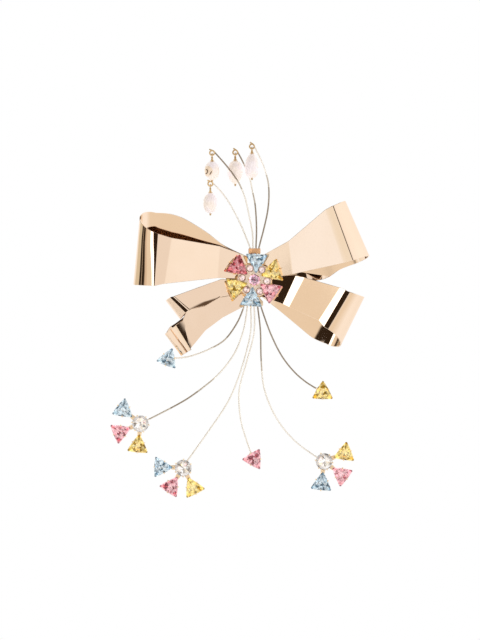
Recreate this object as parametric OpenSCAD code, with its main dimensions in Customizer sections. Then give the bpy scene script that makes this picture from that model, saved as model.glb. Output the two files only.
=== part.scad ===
// Bow brooch with a flower of cut stones, worn upright on a coat or dress.
// Four ribbons of polished sheet metal meet at a flower of six triangular
// stones. Four wires with drop pearls rise above it, and six wires with stones
// hang below it.
//
// Frame: X to the right as seen from the front, Z up, the front faces -Y.
// The origin is the middle of the pin, so "depth" below is the distance in
// front of the pin's axis, and y = -depth.

/* [Bow] */
// Thickness of the ribbons' sheet metal
sheet_t = 0.8; // [0.6:0.1:0.9]
// Steps between two rows of a ribbon's curved layers
row_steps = 3; // [1:1:4]
// Steps round the turned end of a ribbon
turn_steps = 12; // [8:2:16]

/* [Cut stones] */
// Distance from a triangular stone's middle to the middle of its side
tri_in = 3.15; // [3:0.05:3.2]
// Distance from a triangular stone's middle to its blunt corner
tri_tip = 5.75; // [5.4:0.05:5.8]
// Radius of the round stone of each spray
round_r = 4.1; // [3.8:0.1:4.2]
// Radius of the round stone in the flower's middle
centre_r = 2.75; // [2.4:0.05:2.8]
// Radius of the small round stones between the petals
accent_r = 1.55; // [1.3:0.05:1.6]
// Height of a stone's table over its girdle
crown_h = 1.2; // [0.9:0.1:1.3]
// Depth of a stone's point below its girdle
pavilion_h = 2.6; // [2.2:0.1:2.6]

/* [Flower] */
// Least distance from the flower's middle to a petal's middle
petal_ring_r = 9.4; // [9.3:0.1:9.7]
// Size of a petal's stone against a spray's
petal_grow = 1.06; // [1:0.01:1.07]
// Distance from the flower's middle to a small round stone's middle
accent_ring_r = 6.1; // [5.9:0.1:6.4]
// Radius of the plate in front of the ribbons
front_plate_r = 8.2; // [7.4:0.2:8.6]
// Radius of the plate behind the ribbons
back_plate_r = 9; // [8:0.5:10]
// Radius of the post between the two plates
post_r = 2.5; // [2:0.1:2.6]

/* [Wires] */
// Radius of the wires
wire_r = 0.4; // [0.35:0.01:0.42]
// Steps between two points of a wire's route
wire_steps = 3; // [2:1:4]
// Distance from a triangular stone of a spray to the round stone
spray_r = 10.9; // [10.8:0.1:11.3]

/* [Pearls] */
// Radius of the bore through a pearl
pearl_bore_r = 0.45; // [0.4:0.01:0.5]
// Radius of the pin that a pearl hangs on
head_pin_r = 0.3; // [0.25:0.01:0.32]

/* [Pin] */
// Length of the pin's bar
pin_bar_l = 28; // [24:1:32]
// Radius of the pin
pin_r = 0.55; // [0.5:0.05:0.6]

/* [Hidden] */
gap = 0.1;
gold = "#e8bd94";

// Depths of the levels at the knot, from the cloth forward
pin_bar_depth = [4.85, 5.6];
back_plate_depth = [5.7, 6.6];
front_plate_depth = [11.3, 12.1];
petal_depth = front_plate_depth[1] + 3;
centre_depth = petal_depth + 1.2;
accent_depth = petal_depth + 1.4;

// Levels of a stone's setting, from the girdle: the claws' foot, and the plate or arm under it
claw_foot = -2.98;
arm_z = -3.62;
arm_t = 0.6;

// Eye that a rising wire ends in, and how far it steps forward in a full turn
eye_r = 1.15;
eye_rise = 0.92;
eye_steps = 12;
// Ring of a pearl's hanger
ring_r = 0.88;

// Every ribbon table has the columns
// [x_low, z_low, x_high, z_high, depth_low, depth_high], one row for each line
// across the ribbon. The front layer has a flat panel between two rows, the
// back layer is curved through its rows, and "out" is the outermost line
// between them. The leads are the angles at which the lower and the upper end
// of a turn start, which makes a crease where the turn leaves the front layer.
UPPER_LEFT_FRONT = [
    [-3.4, 0.4, -3.4, 11.6, 9.8, 9.8],
    [-18.1, 1.0, -17.1, 16.6, 12.25, 12.15],
    [-44.1, -1.9, -40.6, 20.6, 17.55, 16.95],
    [-48.9, -2.9, -47.2, 22.6, 18.25, 17.95]];
UPPER_LEFT_OUT = [-59.0, -2.2, -55.9, 30.3];
UPPER_LEFT_LEADS = [16, 0];
UPPER_LEFT_BACK = [
    [-48.5, -1.5, -48.4, 33.0, 4.0, 11.0],
    [-42.5, -0.9, -41.6, 32.5, 4.0, 10.8],
    [-36, -0.2, -34.2, 30.0, 4.2, 10.4],
    [-28, 1.5, -23.3, 23.4, 5.8, 9.1],
    [-16, 2.4, -15, 17.1, 6.8, 8.1],
    [-3.4, 1.0, -3.4, 11.6, 7.3, 7.3]];

UPPER_RIGHT_FRONT = [
    [3.4, 0.6, 3.4, 11.8, 9.9, 10.7],
    [18.9, 2.9, 16.8, 19.2, 11.8, 12.9],
    [43.6, 8.3, 34.6, 34.4, 16.6, 17.35],
    [48.2, 9.5, 38.4, 36.3, 17.8, 18.4]];
UPPER_RIGHT_OUT = [56.0, 11.6, 44.2, 38.6];
UPPER_RIGHT_LEADS = [28, 28];
UPPER_RIGHT_BACK = [
    [49.5, 8.0, 39.5, 35.5, 6.6, 8.6],
    [42, 5.2, 33.5, 31.0, 6.0, 8.8],
    [34.5, 0.6, 27, 25.5, 6.0, 8.6],
    [22, -0.8, 16, 17.8, 6.3, 8.2],
    [3.4, 0.0, 3.4, 11.8, 7.45, 8.35]];

LOWER_RIGHT_FRONT = [
    [3.4, -8.0, 3.4, 1.0, 9.05, 9.05],
    [14.0, -11.8, 20.2, 2.1, 9.9, 9.9],
    [17.0, -13.3, 24.3, 1.3, 10.5, 10.5],
    [31.6, -20.0, 41.5, -3.5, 14.7, 14.7],
    [34.0, -23.0, 44.6, -4.9, 15.3, 15.3],
    [34.8, -23.5, 45.6, -5.5, 15.3, 15.3]];
LOWER_RIGHT_OUT = [42.2, -31.2, 53.6, -8.2];
LOWER_RIGHT_BACK = [
    [35.0, -31.2, 46.5, -5.6, 5.8, 6.2],
    [28.5, -28.3, 38, -4.8, 5.2, 7.6],
    [20.8, -22.1, 22, -2.7, 6.2, 8.2],
    [12, -14.8, 10, -1.2, 7.3, 8.9],
    [3.4, -8.0, 3.4, -0.7, 7.25, 7.95]];

// The tail's two ribbons end in a roll. Each row of a roll is
// [share of the way from the last front row to "out", depth_low, depth_high].
TAIL_UPPER_FRONT = [
    [-3.4, -6.0, -3.4, -0.6, 9.8, 9.2],
    [-16.6, -8.4, -16.1, 0.5, 11.25, 10.35],
    [-31.7, -14.4, -39.3, -7.9, 14.2, 14.6],
    [-33.7, -15.9, -41.2, -8.4, 14.3, 14.7],
    [-35.7, -18.4, -42.7, -9.4, 11.8, 13.3]];
TAIL_UPPER_OUT = [-36.1, -18.9, -43.1, -9.8];
TAIL_UPPER_ROLL = [[0.6, 11.1, 12.5], [1, 10.3, 11.5], [0.6, 9.3, 10.1]];
TAIL_UPPER_BACK = [
    [-32.8, -16.4, -39.0, -7.9, 8.0, 8.2],
    [-20, -9.8, -20.4, -1.4, 8.2, 8.2],
    [-3.4, -6.0, -3.4, -0.6, 8.1, 8.1]];

TAIL_LOWER_FRONT = [
    [-3.4, -12.0, -3.4, -5.4, 9.65, 8.95],
    [-15.4, -18.3, -16.6, -5.5, 11.05, 9.75],
    [-24.0, -24.7, -26.5, -11.6, 12.95, 11.95],
    [-31.3, -33.6, -36.8, -21.0, 14.9, 14.15]];
TAIL_LOWER_OUT = [-35.3, -36.8, -43.6, -26.2];
TAIL_LOWER_ROLL = [
    [0.12, 14.5, 13.7], [0.5, 13.0, 11.7], [0.88, 11.2, 9.6], [1, 10.1, 8.6], [0.97, 9.4, 7.9]];
TAIL_LOWER_BACK = [
    [-31.6, -33.2, -41.5, -23.0, 7.0, 7.0],
    [-28.0, -28.8, -38.5, -21.0, 6.8, 6.9],
    [-20, -20.4, -22, -9.5, 7.4, 7.6],
    [-3.4, -11.4, -3.4, -5.4, 7.9, 7.9]];

// Petals of the flower: [angle round the flower, turn about its own middle, distance past the least one]
PETALS = [
    [84, 3, 0], [24.5, -6, 0.4], [-35.5, 0, 0.1],
    [-99, 4, 0.2], [-159, -2, 0.5], [141.5, -1, 1.1]];
PETAL_COLOURS = ["#8fb4d9", "#f2cf4a", "#e28aa0", "#a9cfe0", "#f2cf4a", "#d8546a"];

// Sprays: [x, z, depth of the girdle, angle of the first stone, step to the next]
SPRAYS = [
    [-55.9, -70.4, 12.5, 141, 61.5],
    [-34.9, -92.1, 13.5, 177.5, 59.5],
    [34.1, -88.9, 12.5, 21.5, -59]];
SPRAY_COLOURS = [
    ["#8fb4d9", "#e28aa0", "#f2cf4a"],
    ["#8fb4d9", "#e28aa0", "#f2cf4a"],
    ["#f2cf4a", "#e28aa0", "#8fb4d9"]];

// Single stones: [x, z, depth of the girdle, angle of the corner that points away]
SINGLES = [[-42.4, -38.8, 10.0, 188.5], [-0.3, -87.8, 12.5, -59], [33.4, -55.1, 12.5, -31.5]];
SINGLE_COLOURS = ["#a9cfe0", "#e28aa0", "#f2cf4a"];

// Routes of the hanging wires, from the collar outward: [x, z, depth]
DROP_ROUTES = [
    [[-5.3, -11.2, 11.4], [-5.3, -13.4, 11.4], [-8.7, -21.3, 10], [-14.7, -29.4, 8],
     [-22.8, -34.2, 6.0], [-30.9, -37.2, 4.9], [-35.5, -38.1, 5.2], [-40.6, -38.4, 6.65]],
    [[-3.5, -11.2, 11.4], [-3.5, -13.4, 11.4], [-5.4, -24.8, 11.6], [-10.1, -36.4, 11.4],
     [-18.2, -46.7, 10.8], [-29.7, -56.0, 10], [-39, -61.7, 9.4], [-53.2, -69.0, 9.15]],
    [[-1.8, -11.2, 11.4], [-1.8, -13.4, 11.4], [-1.8, -24.8, 12], [-4.3, -36.4, 12.2], [-8.3, -49, 12],
     [-13.5, -60.6, 11.4], [-22.8, -74.5, 10.6], [-33.6, -89.6, 10.15]],
    [[-0.1, -11.2, 11.4], [-0.1, -13.4, 11.4], [-0.2, -26, 11.2], [-3.7, -39.7, 10.6], [-7.0, -51.4, 10],
     [-7.6, -59.5, 9.6], [-6.2, -71, 9.3], [-1.2, -86.3, 9.15]],
    [[1.6, -11.2, 11.4], [1.6, -13.4, 11.4], [2.9, -24.8, 11.6], [3.3, -39.7, 11.6], [4.9, -53.7, 11.2],
     [10.7, -67.6, 10.4], [20, -79.1, 9.6], [31.9, -87.8, 9.15]],
    [[3.3, -11.2, 11.4], [3.3, -13.4, 11.4], [7.8, -26, 11.4], [13, -36.6, 11], [18.9, -44.4, 10.4],
     [25.2, -50.0, 9.6], [31.8, -54.0, 9.15]]];

// Routes of the rising wires, from the collar up to the eye: [x, z, depth]
function foot(i) = [1.45 * i - 2.175, 13.6, i % 2 == 0 ? 11.0 : 12.1];
RISING_ROUTES = [
    [foot(0), foot(0) + [0, 2.2, 0], [-4.5, 21.9, 10.8], [-7.1, 28, 10.4], [-9.8, 33.3, 10.2],
     [-12.8, 38.5, 10], [-16.3, 43.3, 9.8], [-20.8, 48.0, 9.54]],
    [foot(1), foot(1) + [0, 2.2, 0], [-1.0, 23.2, 12.4], [-2.7, 32, 12.8], [-4.5, 39.8, 13],
     [-7.1, 46.4, 13.1], [-9.8, 50.8, 13.1], [-14.1, 56.4, 13], [-19.9, 63.0, 12.54]],
    [foot(2), foot(2) + [0, 2.2, 0], [1.0, 25.5, 10.4], [0.4, 36.3, 9.4], [-1.0, 43.8, 8.4],
     [-2.3, 49.9, 8], [-5.3, 57.2, 7.8], [-8.4, 63.2, 7.54]],
    [foot(3), foot(3) + [0, 2.2, 0], [4.7, 25.5, 12.2], [6.5, 34.1, 12.3], [7.1, 42.0, 12.4],
     [6.5, 49.0, 12.4], [4.0, 57.0, 12.3], [-0.2, 65.9, 11.94]]];

// Pearls: [half width, half height, drop from the eye's middle, height of the widest part from 0 to 1]
PEARLS = [
    [3.6, 5.1, 9.5, 0.48],
    [3.85, 4.6, 8.8, 0.5],
    [3.95, 5.8, 9.8, 0.55],
    [3.5, 6.0, 9.5, 0.4]];
PEARL_COLOURS = ["#f3ecea", "#f5e6e2", "#f8e3d2", "#f1ebee"];

// Point between a and b
function mix(a, b, t) = a + (b - a) * t;
function unit(v) = v / norm(v);
function at_depth(p) = [p[0], -p[2], p[1]];

// Point at t between rows i and i + 1 of a list, on a smooth curve through all of them
function curve_at(p, i, t) =
    let (n = len(p) - 1,
         a = p[max(i - 1, 0)], b = p[i], c = p[min(i + 1, n)], d = p[min(i + 2, n)])
    0.5 * (2 * b + (c - a) * t + (2 * a - 5 * b + 4 * c - d) * t * t
           + (3 * b - a - 3 * c + d) * t * t * t);
function smooth(p, steps) = concat(
    [for (i = [0:len(p) - 2]) for (k = [0:steps - 1]) curve_at(p, i, k / steps)],
    [p[len(p) - 1]]);

function from_socket(p, steps) = concat(
    [p[0]],
    [for (i = [1:len(p) - 2]) for (k = [0:steps - 1]) curve_at(p, i, k / steps)],
    [p[len(p) - 1]]);

// Closed solid through rings of equal length
module skin_rings(rings) {
    n = len(rings[0]);
    last = len(rings) - 1;
    points = [for (r = rings) for (p = r) p];
    sides = [for (i = [0:last - 1]) for (j = [0:n - 1])
        let (a = i * n + j, b = i * n + (j + 1) % n)
        for (f = [[a, b, b + n], [a, b + n, a + n]]) f];
    caps = [for (j = [1:n - 2]) for (f = [[0, j + 1, j], [last * n, last * n + j, last * n + j + 1]]) f];
    polyhedron(points, concat(sides, caps), convexity = 8);
}

// Edge points of a ribbon's middle surface: [low edge, high edge] for each line across
function edges(row) = [at_depth([row[0], row[1], row[4]]), at_depth([row[2], row[3], row[5]])];
// Lines round the turned end, from the front layer's last to the back layer's first
function turn_lines(front, out, back, leads) =
    let (f = edges(front), b = edges(back),
         low = mix(front[4], back[4], 0.5), high = mix(front[5], back[5], 0.5),
         o = edges([out[0], out[1], out[2], out[3], low, high]))
    [for (k = [1:turn_steps - 1])
        [for (e = [0, 1])
            let (lead = leads[e], a = lead + (180 - lead) * k / turn_steps, m = mix(f[e], b[e], 0.5),
                 reach = a < 90 ? (sin(a) - sin(lead)) / (1 - sin(lead)) : sin(a),
                 side = a < 90 ? cos(a) / cos(lead) : cos(a))
            m + (f[e] - b[e]) / 2 * side + (o[e] - m) * reach]];
function turned(front, out, back, leads = [0, 0]) = concat(
    [for (row = front) edges(row)],
    turn_lines(front[len(front) - 1], out, back[0], leads),
    [for (row = smooth(back, row_steps)) edges(row)]);
function rolled(front, out, roll, back) =
    let (last = front[len(front) - 1],
         rows = [for (r = roll) concat([for (j = [0:3]) mix(last[j], out[j], r[0])], [r[1], r[2]])])
    concat([for (row = front) edges(row)], [for (row = smooth(concat(rows, back), row_steps)) edges(row)]);

// Sheet metal of even thickness round a ribbon's middle surface
module ribbon(l, t = sheet_t) {
    n = len(l) - 1;
    function normal(i, e) = unit(cross(
        l[min(i + 1, n)][e] - l[max(i - 1, 0)][e], l[i][1] - l[i][0])) * t / 2;
    skin_rings([for (i = [0:n])
        let (a = normal(i, 0), b = normal(i, 1), low = l[i][0], high = l[i][1])
        [low - a, low + a, high + b, high - b]]);
}

// Outline radius of a triangular stone at an angle measured from a corner
function tri_at(a) =
    let (w = (a + 720) % 120)
    min(tri_tip, tri_in / cos(60 - w) * (1 + 0.04 * sin(1.5 * w)));
function tri_outline(steps, s = 1, shift = 0) = [for (i = [0:steps - 1])
    let (a = 360 * (i + shift) / steps) s * tri_at(a) * [cos(a), sin(a)]];
function round_outline(r, steps, s = 1, shift = 0) = [for (i = [0:steps - 1])
    let (a = 360 * (i + shift) / steps) s * r * [cos(a), sin(a)]];

// Cut stone with its table up, from a table ring, two half-turned facet rings,
// the girdle and the point below; the girdle's lower edge is at z = 0
module cut_stone(table, crown, girdle, pavilion, high, low) {
    n = len(girdle);
    girdle_h = 0.15;
    function lift(o, z) = [for (p = o) [p[0], p[1], z]];
    points = concat(lift(table, high), lift(crown, mix(girdle_h, high, 0.55)), lift(girdle, girdle_h),
        lift(girdle, 0), lift(pavilion, -0.45 * low), [[0, 0, -low]]);
    function belt(top, half) = [for (j = [0:n - 1])
        let (k = (j + 1) % n)
        for (f = half > 0
            ? [[top + j, top + k, top + n + j], [top + k, top + n + k, top + n + j]]
            : [[top + j, top + n + k, top + n + j], [top + j, top + k, top + n + k]]) f];
    faces = concat(
        [for (j = [1:n - 2]) [0, j + 1, j]],
        belt(0, 1), belt(n, 0), belt(2 * n, 0), belt(3 * n, 1),
        [for (j = [0:n - 1]) [4 * n + j, 4 * n + (j + 1) % n, 5 * n]]);
    polyhedron(points, faces, convexity = 4);
}
module tri_stone(s = 1) {
    n = 12;
    cut_stone(tri_outline(n, 0.56 * s), tri_outline(n, 0.8 * s, 0.5), tri_outline(n, s),
        tri_outline(n, 0.6 * s, 0.5), crown_h, pavilion_h);
}
module round_stone(r, n, high, low) {
    cut_stone(round_outline(r, n, 0.56), round_outline(r, n, 0.82, 0.5), round_outline(r, n),
        round_outline(r, n, 0.6, 0.5), high, low);
}

// Puts a shape that faces +Z at (x, z) with its girdle at a depth, facing the front,
// turned by an angle counted from +X towards +Z
module facing(x, z, depth, angle = 0) {
    translate([x, -depth, z]) rotate([90, 0, 0]) rotate([0, 0, angle]) children();
}

// Claw at a distance from a stone's middle that grips over its edge
module claw(r, w = 0.9) {
    rotate([90, 0, 0]) linear_extrude(height = w, center = true) polygon([
        [r - 0.7, claw_foot], [r + 0.55, claw_foot], [r + 0.55, 0.7], [r - 0.3, 1.3], [r - 0.6, 1.2],
        [r - 0.55, 0.92], [r + 0.14, 0.34], [r + 0.14, -1.5], [r - 0.7, -2.3]]);
}
module tri_cup(s = 1) {
    translate([0, 0, -3.05]) linear_extrude(height = 2.1) difference() {
        polygon(tri_outline(12, 0.92 * s));
        polygon(tri_outline(12, 0.74 * s));
    }
    for (a = [60, 180, 300]) rotate([0, 0, a]) claw(tri_in * 1.04 * s);
}
module round_cup(r, claws, first = 0) {
    translate([0, 0, -3.05]) difference() {
        cylinder(r = r - 0.3, h = 2.1);
        translate([0, 0, -1]) cylinder(r = r * 0.76, h = 4);
    }
    for (k = [0:claws - 1]) rotate([0, 0, first + 360 * k / claws]) claw(r);
}

// Wire of even thickness along a route
module wire(route, r = wire_r, sides = 6) {
    n = len(route) - 1;
    skin_rings([for (i = [0:n])
        let (t = unit(route[min(i + 1, n)] - route[max(i - 1, 0)]),
             u = unit(cross(t, [0, 1, 0])), v = cross(u, t))
        [for (k = [0:sides - 1]) let (a = 360 * k / sides) route[i] + r * (u * cos(a) + v * sin(a))]]);
}

module bow_loop_upper_left() color(gold)
    ribbon(turned(UPPER_LEFT_FRONT, UPPER_LEFT_OUT, UPPER_LEFT_BACK, UPPER_LEFT_LEADS));
module bow_loop_upper_right() color(gold)
    ribbon(turned(UPPER_RIGHT_FRONT, UPPER_RIGHT_OUT, UPPER_RIGHT_BACK, UPPER_RIGHT_LEADS));
module bow_loop_lower_right() color(gold)
    ribbon(turned(LOWER_RIGHT_FRONT, LOWER_RIGHT_OUT, LOWER_RIGHT_BACK));
module bow_tail_lower_left() color(gold) union() {
    ribbon(rolled(TAIL_UPPER_FRONT, TAIL_UPPER_OUT, TAIL_UPPER_ROLL, TAIL_UPPER_BACK));
    ribbon(rolled(TAIL_LOWER_FRONT, TAIL_LOWER_OUT, TAIL_LOWER_ROLL, TAIL_LOWER_BACK));
}

// Small cup on a post, with its stone's girdle at z = 0
module accent_cup() {
    rotate_extrude() polygon([
        [0, -4.5], [1, -4.5], [1, -1.25], [1.8, -0.25], [1.8, 0.12], [1.66, 0.12],
        [1.66, -0.12], [1.1, -0.55], [0.25, -1.2], [0, -1.2]]);
}

// A petal's own frame, with a corner towards the flower's middle
module at_petal(p) {
    r = petal_ring_r + p[2];
    facing(r * cos(p[0]), r * sin(p[0]), petal_depth, p[0] + p[1] + 180) children();
}
module at_accent(p) {
    a = p[0] - 30;
    facing(accent_ring_r * cos(a), accent_ring_r * sin(a), accent_depth) children();
}

module flower_setting() color(gold) difference() {
    union() {
        facing(0, 0, back_plate_depth[0]) cylinder(r = back_plate_r, h = 0.9);
        facing(0, 0, back_plate_depth[0]) cylinder(r = post_r, h = 6);
        facing(0, 0, front_plate_depth[0]) cylinder(r = front_plate_r, h = 0.8);
        for (p = PETALS) at_petal(p) tri_cup(petal_grow);
        facing(0, 0, front_plate_depth[0]) cylinder(r = 2.2, h = 2.2);
        facing(0, 0, centre_depth) round_cup(centre_r, 6, 54);
        for (p = PETALS) at_accent(p) accent_cup();
        lower_collar();
        upper_collar();
    }
    for (r = DROP_ROUTES) socket(r[0], -1);
    for (r = RISING_ROUTES) socket(r[0], 1);
}
// Blind bore that a wire stands in, towards +Z or -Z
module socket(p, way) {
    translate([p[0], -p[2], p[1] - 0.2 * way]) mirror([0, 0, way > 0 ? 0 : 1])
        cylinder(r = wire_r + gap, h = 4);
}
module lower_collar() {
    facing(0, 0, 10.5) linear_extrude(height = 1.7) polygon([
        [-6.2, -12.7], [4.2, -12.7], [4.2, -10.6], [1, -7], [-3, -7], [-6.2, -10.6]]);
}
module upper_collar() {
    facing(0, 0, 10.2) linear_extrude(height = 2.6) polygon([
        [-2.95, 12.9], [2.95, 12.9], [2.95, 15.5], [-2.95, 15.5]]);
    facing(0, 0, front_plate_depth[0]) linear_extrude(height = 0.8) polygon([
        [-2.2, 6], [2.2, 6], [2.9, 13.5], [-2.9, 13.5]]);
}

module petal_stone(i) color(PETAL_COLOURS[i - 1]) at_petal(PETALS[i - 1]) tri_stone(petal_grow);
module centre_stone() color("#d7a9c4") facing(0, 0, centre_depth) round_stone(centre_r, 12, 1.1, 2.4);
module accent_stone(i) color("#f1dfe0") at_accent(PETALS[i - 1]) round_stone(accent_r, 8, 0.7, 1);

// Wires 1, 4 and 6 end in a single stone, wires 2, 3 and 5 in a spray
function is_single(i) = i == 1 || i == 4 || i == 6;
module drop_stem(i) color(gold) {
    union() {
        wire(from_socket([for (p = DROP_ROUTES[i - 1]) at_depth(p)], wire_steps));
        if (is_single(i)) single_setting(SINGLES[i == 1 ? 0 : i == 4 ? 1 : 2]);
        else spray_setting(SPRAYS[i == 5 ? 2 : i - 2]);
    }
}
module single_setting(s) {
    facing(s[0], s[1], s[2], s[3]) {
        tri_cup();
        translate([-3.4, -0.9, arm_z]) cube([5.4, 1.8, arm_t]);
    }
}
module spray_setting(s) {
    facing(s[0], s[1], s[2]) {
        translate([0, 0, -3.7]) cylinder(r = round_r - 0.5, h = 0.72);
        round_cup(round_r, 6, s[3] + 30);
    }
    for (k = [0:2]) facing(s[0], s[1], s[2], s[3] + k * s[4]) {
        translate([0, -1.2, arm_z]) cube([spray_r + 1, 2.4, arm_t]);
        translate([spray_r, 0, 0]) rotate([0, 0, 180]) tri_cup();
    }
}
module single_stone(i) {
    s = SINGLES[i - 1];
    color(SINGLE_COLOURS[i - 1]) facing(s[0], s[1], s[2], s[3]) tri_stone();
}
// Stone 0 of a spray is the round one
module spray_stone(n, i) {
    s = SPRAYS[n - 1];
    if (i == 0) color("#f4f2ee") facing(s[0], s[1], s[2]) round_stone(round_r, 12, crown_h, pavilion_h);
    else color(SPRAY_COLOURS[n - 1][i - 1]) facing(s[0], s[1], s[2], s[3] + (i - 1) * s[4])
        translate([spray_r, 0, 0]) rotate([0, 0, 180]) tri_stone();
}

// Place round the eye where the wire comes in, as an angle from +X
function eye_start(r) =
    let (n = len(r) - 1) atan2(r[n][1] - r[n - 1][1], r[n][0] - r[n - 1][0]) - 90;
// Middle of the eye, at the depth of its lowest point
function eye_middle(r) =
    let (p = r[len(r) - 1], a = eye_start(r))
    [p[0] - eye_r * cos(a), p[1] - eye_r * sin(a), p[2] + eye_rise * (270 - a) / 360];
// A little over a full turn that steps forward, then a short straight tip
function eye_turn(r) =
    let (m = eye_middle(r), a = eye_start(r), depth = r[len(r) - 1][2], tip = 1.9, b = a + 390 / eye_steps)
    concat(
        [for (k = [1:eye_steps + 1])
            let (b = a + 360 * k / eye_steps)
            [m[0] + eye_r * cos(b), m[1] + eye_r * sin(b), depth + eye_rise * k / eye_steps]],
        [[m[0] + eye_r * cos(b) - tip * sin(b), m[1] + eye_r * sin(b) + tip * cos(b),
            depth + eye_rise * 1.15]]);
module pearl_stem(i) {
    r = RISING_ROUTES[i - 1];
    color(gold) wire([for (p = concat(from_socket(r, wire_steps), eye_turn(r))) at_depth(p)]);
}

// A pearl's own frame: its middle under the eye, upright
module under_eye(i) {
    m = eye_middle(RISING_ROUTES[i - 1]);
    translate([m[0], -m[2], m[1] - PEARLS[i - 1][2]]) children();
}
function pearl_at(p, u) = p[0] * sqrt(1 - pow(abs(2 * pow(u, ln(0.5) / ln(p[3])) - 1), 2.2));
module pearl(i) {
    p = PEARLS[i - 1];
    steps = 14;
    color(PEARL_COLOURS[i - 1]) under_eye(i) rotate_extrude() polygon(concat(
        [[pearl_bore_r, -p[1]]],
        [for (k = [0:steps])
            let (u = k / steps) [max(pearl_at(p, u), pearl_bore_r + 0.35), p[1] * (2 * u - 1)]],
        [[pearl_bore_r, p[1]]]));
}
module pearl_hanger(i) {
    p = PEARLS[i - 1];
    ring_z = p[2] - eye_r;
    color(gold) under_eye(i) {
        translate([0, 0, ring_z]) rotate([0, 90, 0]) rotate_extrude()
            translate([ring_r, 0]) circle(r = head_pin_r);
        translate([0, 0, -p[1] - 0.3]) cylinder(r = head_pin_r, h = p[1] + 0.3 + ring_z - ring_r);
        translate([0, 0, -p[1] - 0.55]) sphere(r = 0.5);
        translate([0, 0, p[1] + gap]) cylinder(r1 = 1.25, r2 = 0.5, h = 0.8);
        translate([0, 0, p[1] + 1.1]) cylinder(r = 0.5, h = ring_z - ring_r - p[1] - 1.2);
    }
}

// Bar, pin and catch in one piece, behind the knot
module pin_back() color(gold) {
    half = pin_bar_l / 2;
    thick = pin_bar_depth[1] - pin_bar_depth[0];
    facing(0, 0, pin_bar_depth[0]) translate([-half, -2.2, 0]) cube([pin_bar_l, 4.4, thick]);
    translate([-half, -pin_bar_depth[1], -1.6]) cube([2, pin_bar_depth[1], 3.2]);
    translate([-half, 0, 0]) rotate([0, 90, 0]) cylinder(r = 1.6, h = 2);
    translate([1 - half, 0, 0]) rotate([0, 90, 0]) cylinder(r = pin_r, h = pin_bar_l - 3);
    translate([half - 2, 0, 0]) rotate([0, 90, 0]) cylinder(r1 = pin_r, r2 = 0.12, h = 2.4);
    translate([half - 4.5, 0, 0]) catch();
}
module catch() {
    difference() {
        union() {
            rotate([0, 90, 0]) cylinder(r = 1.7, h = 2);
            translate([0, -pin_bar_depth[1], -1.7]) cube([2, pin_bar_depth[1], 0.9]);
        }
        translate([-1, 0, 0]) rotate([0, 90, 0]) cylinder(r = 0.9, h = 4);
        translate([-1, -3, -0.8]) cube([4, 3, 4]);
    }
}

bow_loop_upper_left();
bow_loop_upper_right();
bow_tail_lower_left();
bow_loop_lower_right();
flower_setting();
pin_back();
centre_stone();
for (i = [1:6]) petal_stone(i);
for (i = [1:6]) accent_stone(i);
for (i = [1:6]) drop_stem(i);
for (i = [1:3]) single_stone(i);
for (s = [1:3]) for (i = [0:3])
    spray_stone(s, i);
for (i = [1:4]) pearl_stem(i);
for (i = [1:4]) pearl_hanger(i);
for (i = [1:4]) pearl(i);
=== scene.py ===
# %% [markdown]
# # Bow brooch with a flower of cut stones
# The brooch is a bow of polished rose-gold sheet metal. Six triangular stones make a flower over its knot, four
# wires with drop pearls rise behind the flower, and six wires with stones hang below it. It is worn upright, so
# Z is up, the front faces -Y, and the origin is the middle of the pin at the back.
#
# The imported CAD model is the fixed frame. Every piece below is a finer version of one of its nodes and lies
# where that node lies.

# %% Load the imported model
from math import atan, atan2, copysign, cos, degrees, log, pi, radians, sin, sqrt, tau

import bmesh
import bpy
from mathutils import Matrix, Vector


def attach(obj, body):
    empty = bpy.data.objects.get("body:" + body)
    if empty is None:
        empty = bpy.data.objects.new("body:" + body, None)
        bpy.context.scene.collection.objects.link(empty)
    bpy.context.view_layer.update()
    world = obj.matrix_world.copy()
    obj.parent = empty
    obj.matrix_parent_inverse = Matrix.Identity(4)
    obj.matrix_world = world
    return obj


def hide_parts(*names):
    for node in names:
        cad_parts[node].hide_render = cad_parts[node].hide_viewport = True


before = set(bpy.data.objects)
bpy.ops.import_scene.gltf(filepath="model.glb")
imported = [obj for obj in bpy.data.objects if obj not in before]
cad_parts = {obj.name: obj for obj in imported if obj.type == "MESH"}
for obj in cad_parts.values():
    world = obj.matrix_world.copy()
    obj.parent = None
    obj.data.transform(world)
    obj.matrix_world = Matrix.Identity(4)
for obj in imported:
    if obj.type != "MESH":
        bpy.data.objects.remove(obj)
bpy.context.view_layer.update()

# %% [markdown]
# ## Camera
# The brooch was photographed straight from the front with a long lens, so its outline has hardly any
# perspective. A sensor of 36 mm along the picture's long side, 2.2 m away, shows 314 mm of height.

# %% Camera
MM, MICRON = 1e-3, 1e-6
SENSOR = 36
CAMERA_DISTANCE = 2200 * MM
PICTURE_HEIGHT = 313.6 * MM
camera = bpy.data.objects.new("camera", bpy.data.cameras.new("camera"))
bpy.context.scene.collection.objects.link(camera)
camera.data.lens = SENSOR * CAMERA_DISTANCE / PICTURE_HEIGHT
camera.location = (-7.1 * MM, -12 * MM - CAMERA_DISTANCE, -19.6 * MM)
camera.rotation_euler = (radians(90), 0, 0)
camera.data.clip_end = 20
bpy.context.scene.camera = camera
print("lens of", round(camera.data.lens, 1), "mm")

# %% [markdown]
# ## Node recipes
# Materials and the studio are node trees. Writing them as sums is easier to read than drawing boxes, so one
# small class wraps an output socket and turns +, -, * and / into Math nodes. Everything else comes from one
# method that takes the node's type, its settings and the values of its inputs.


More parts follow.
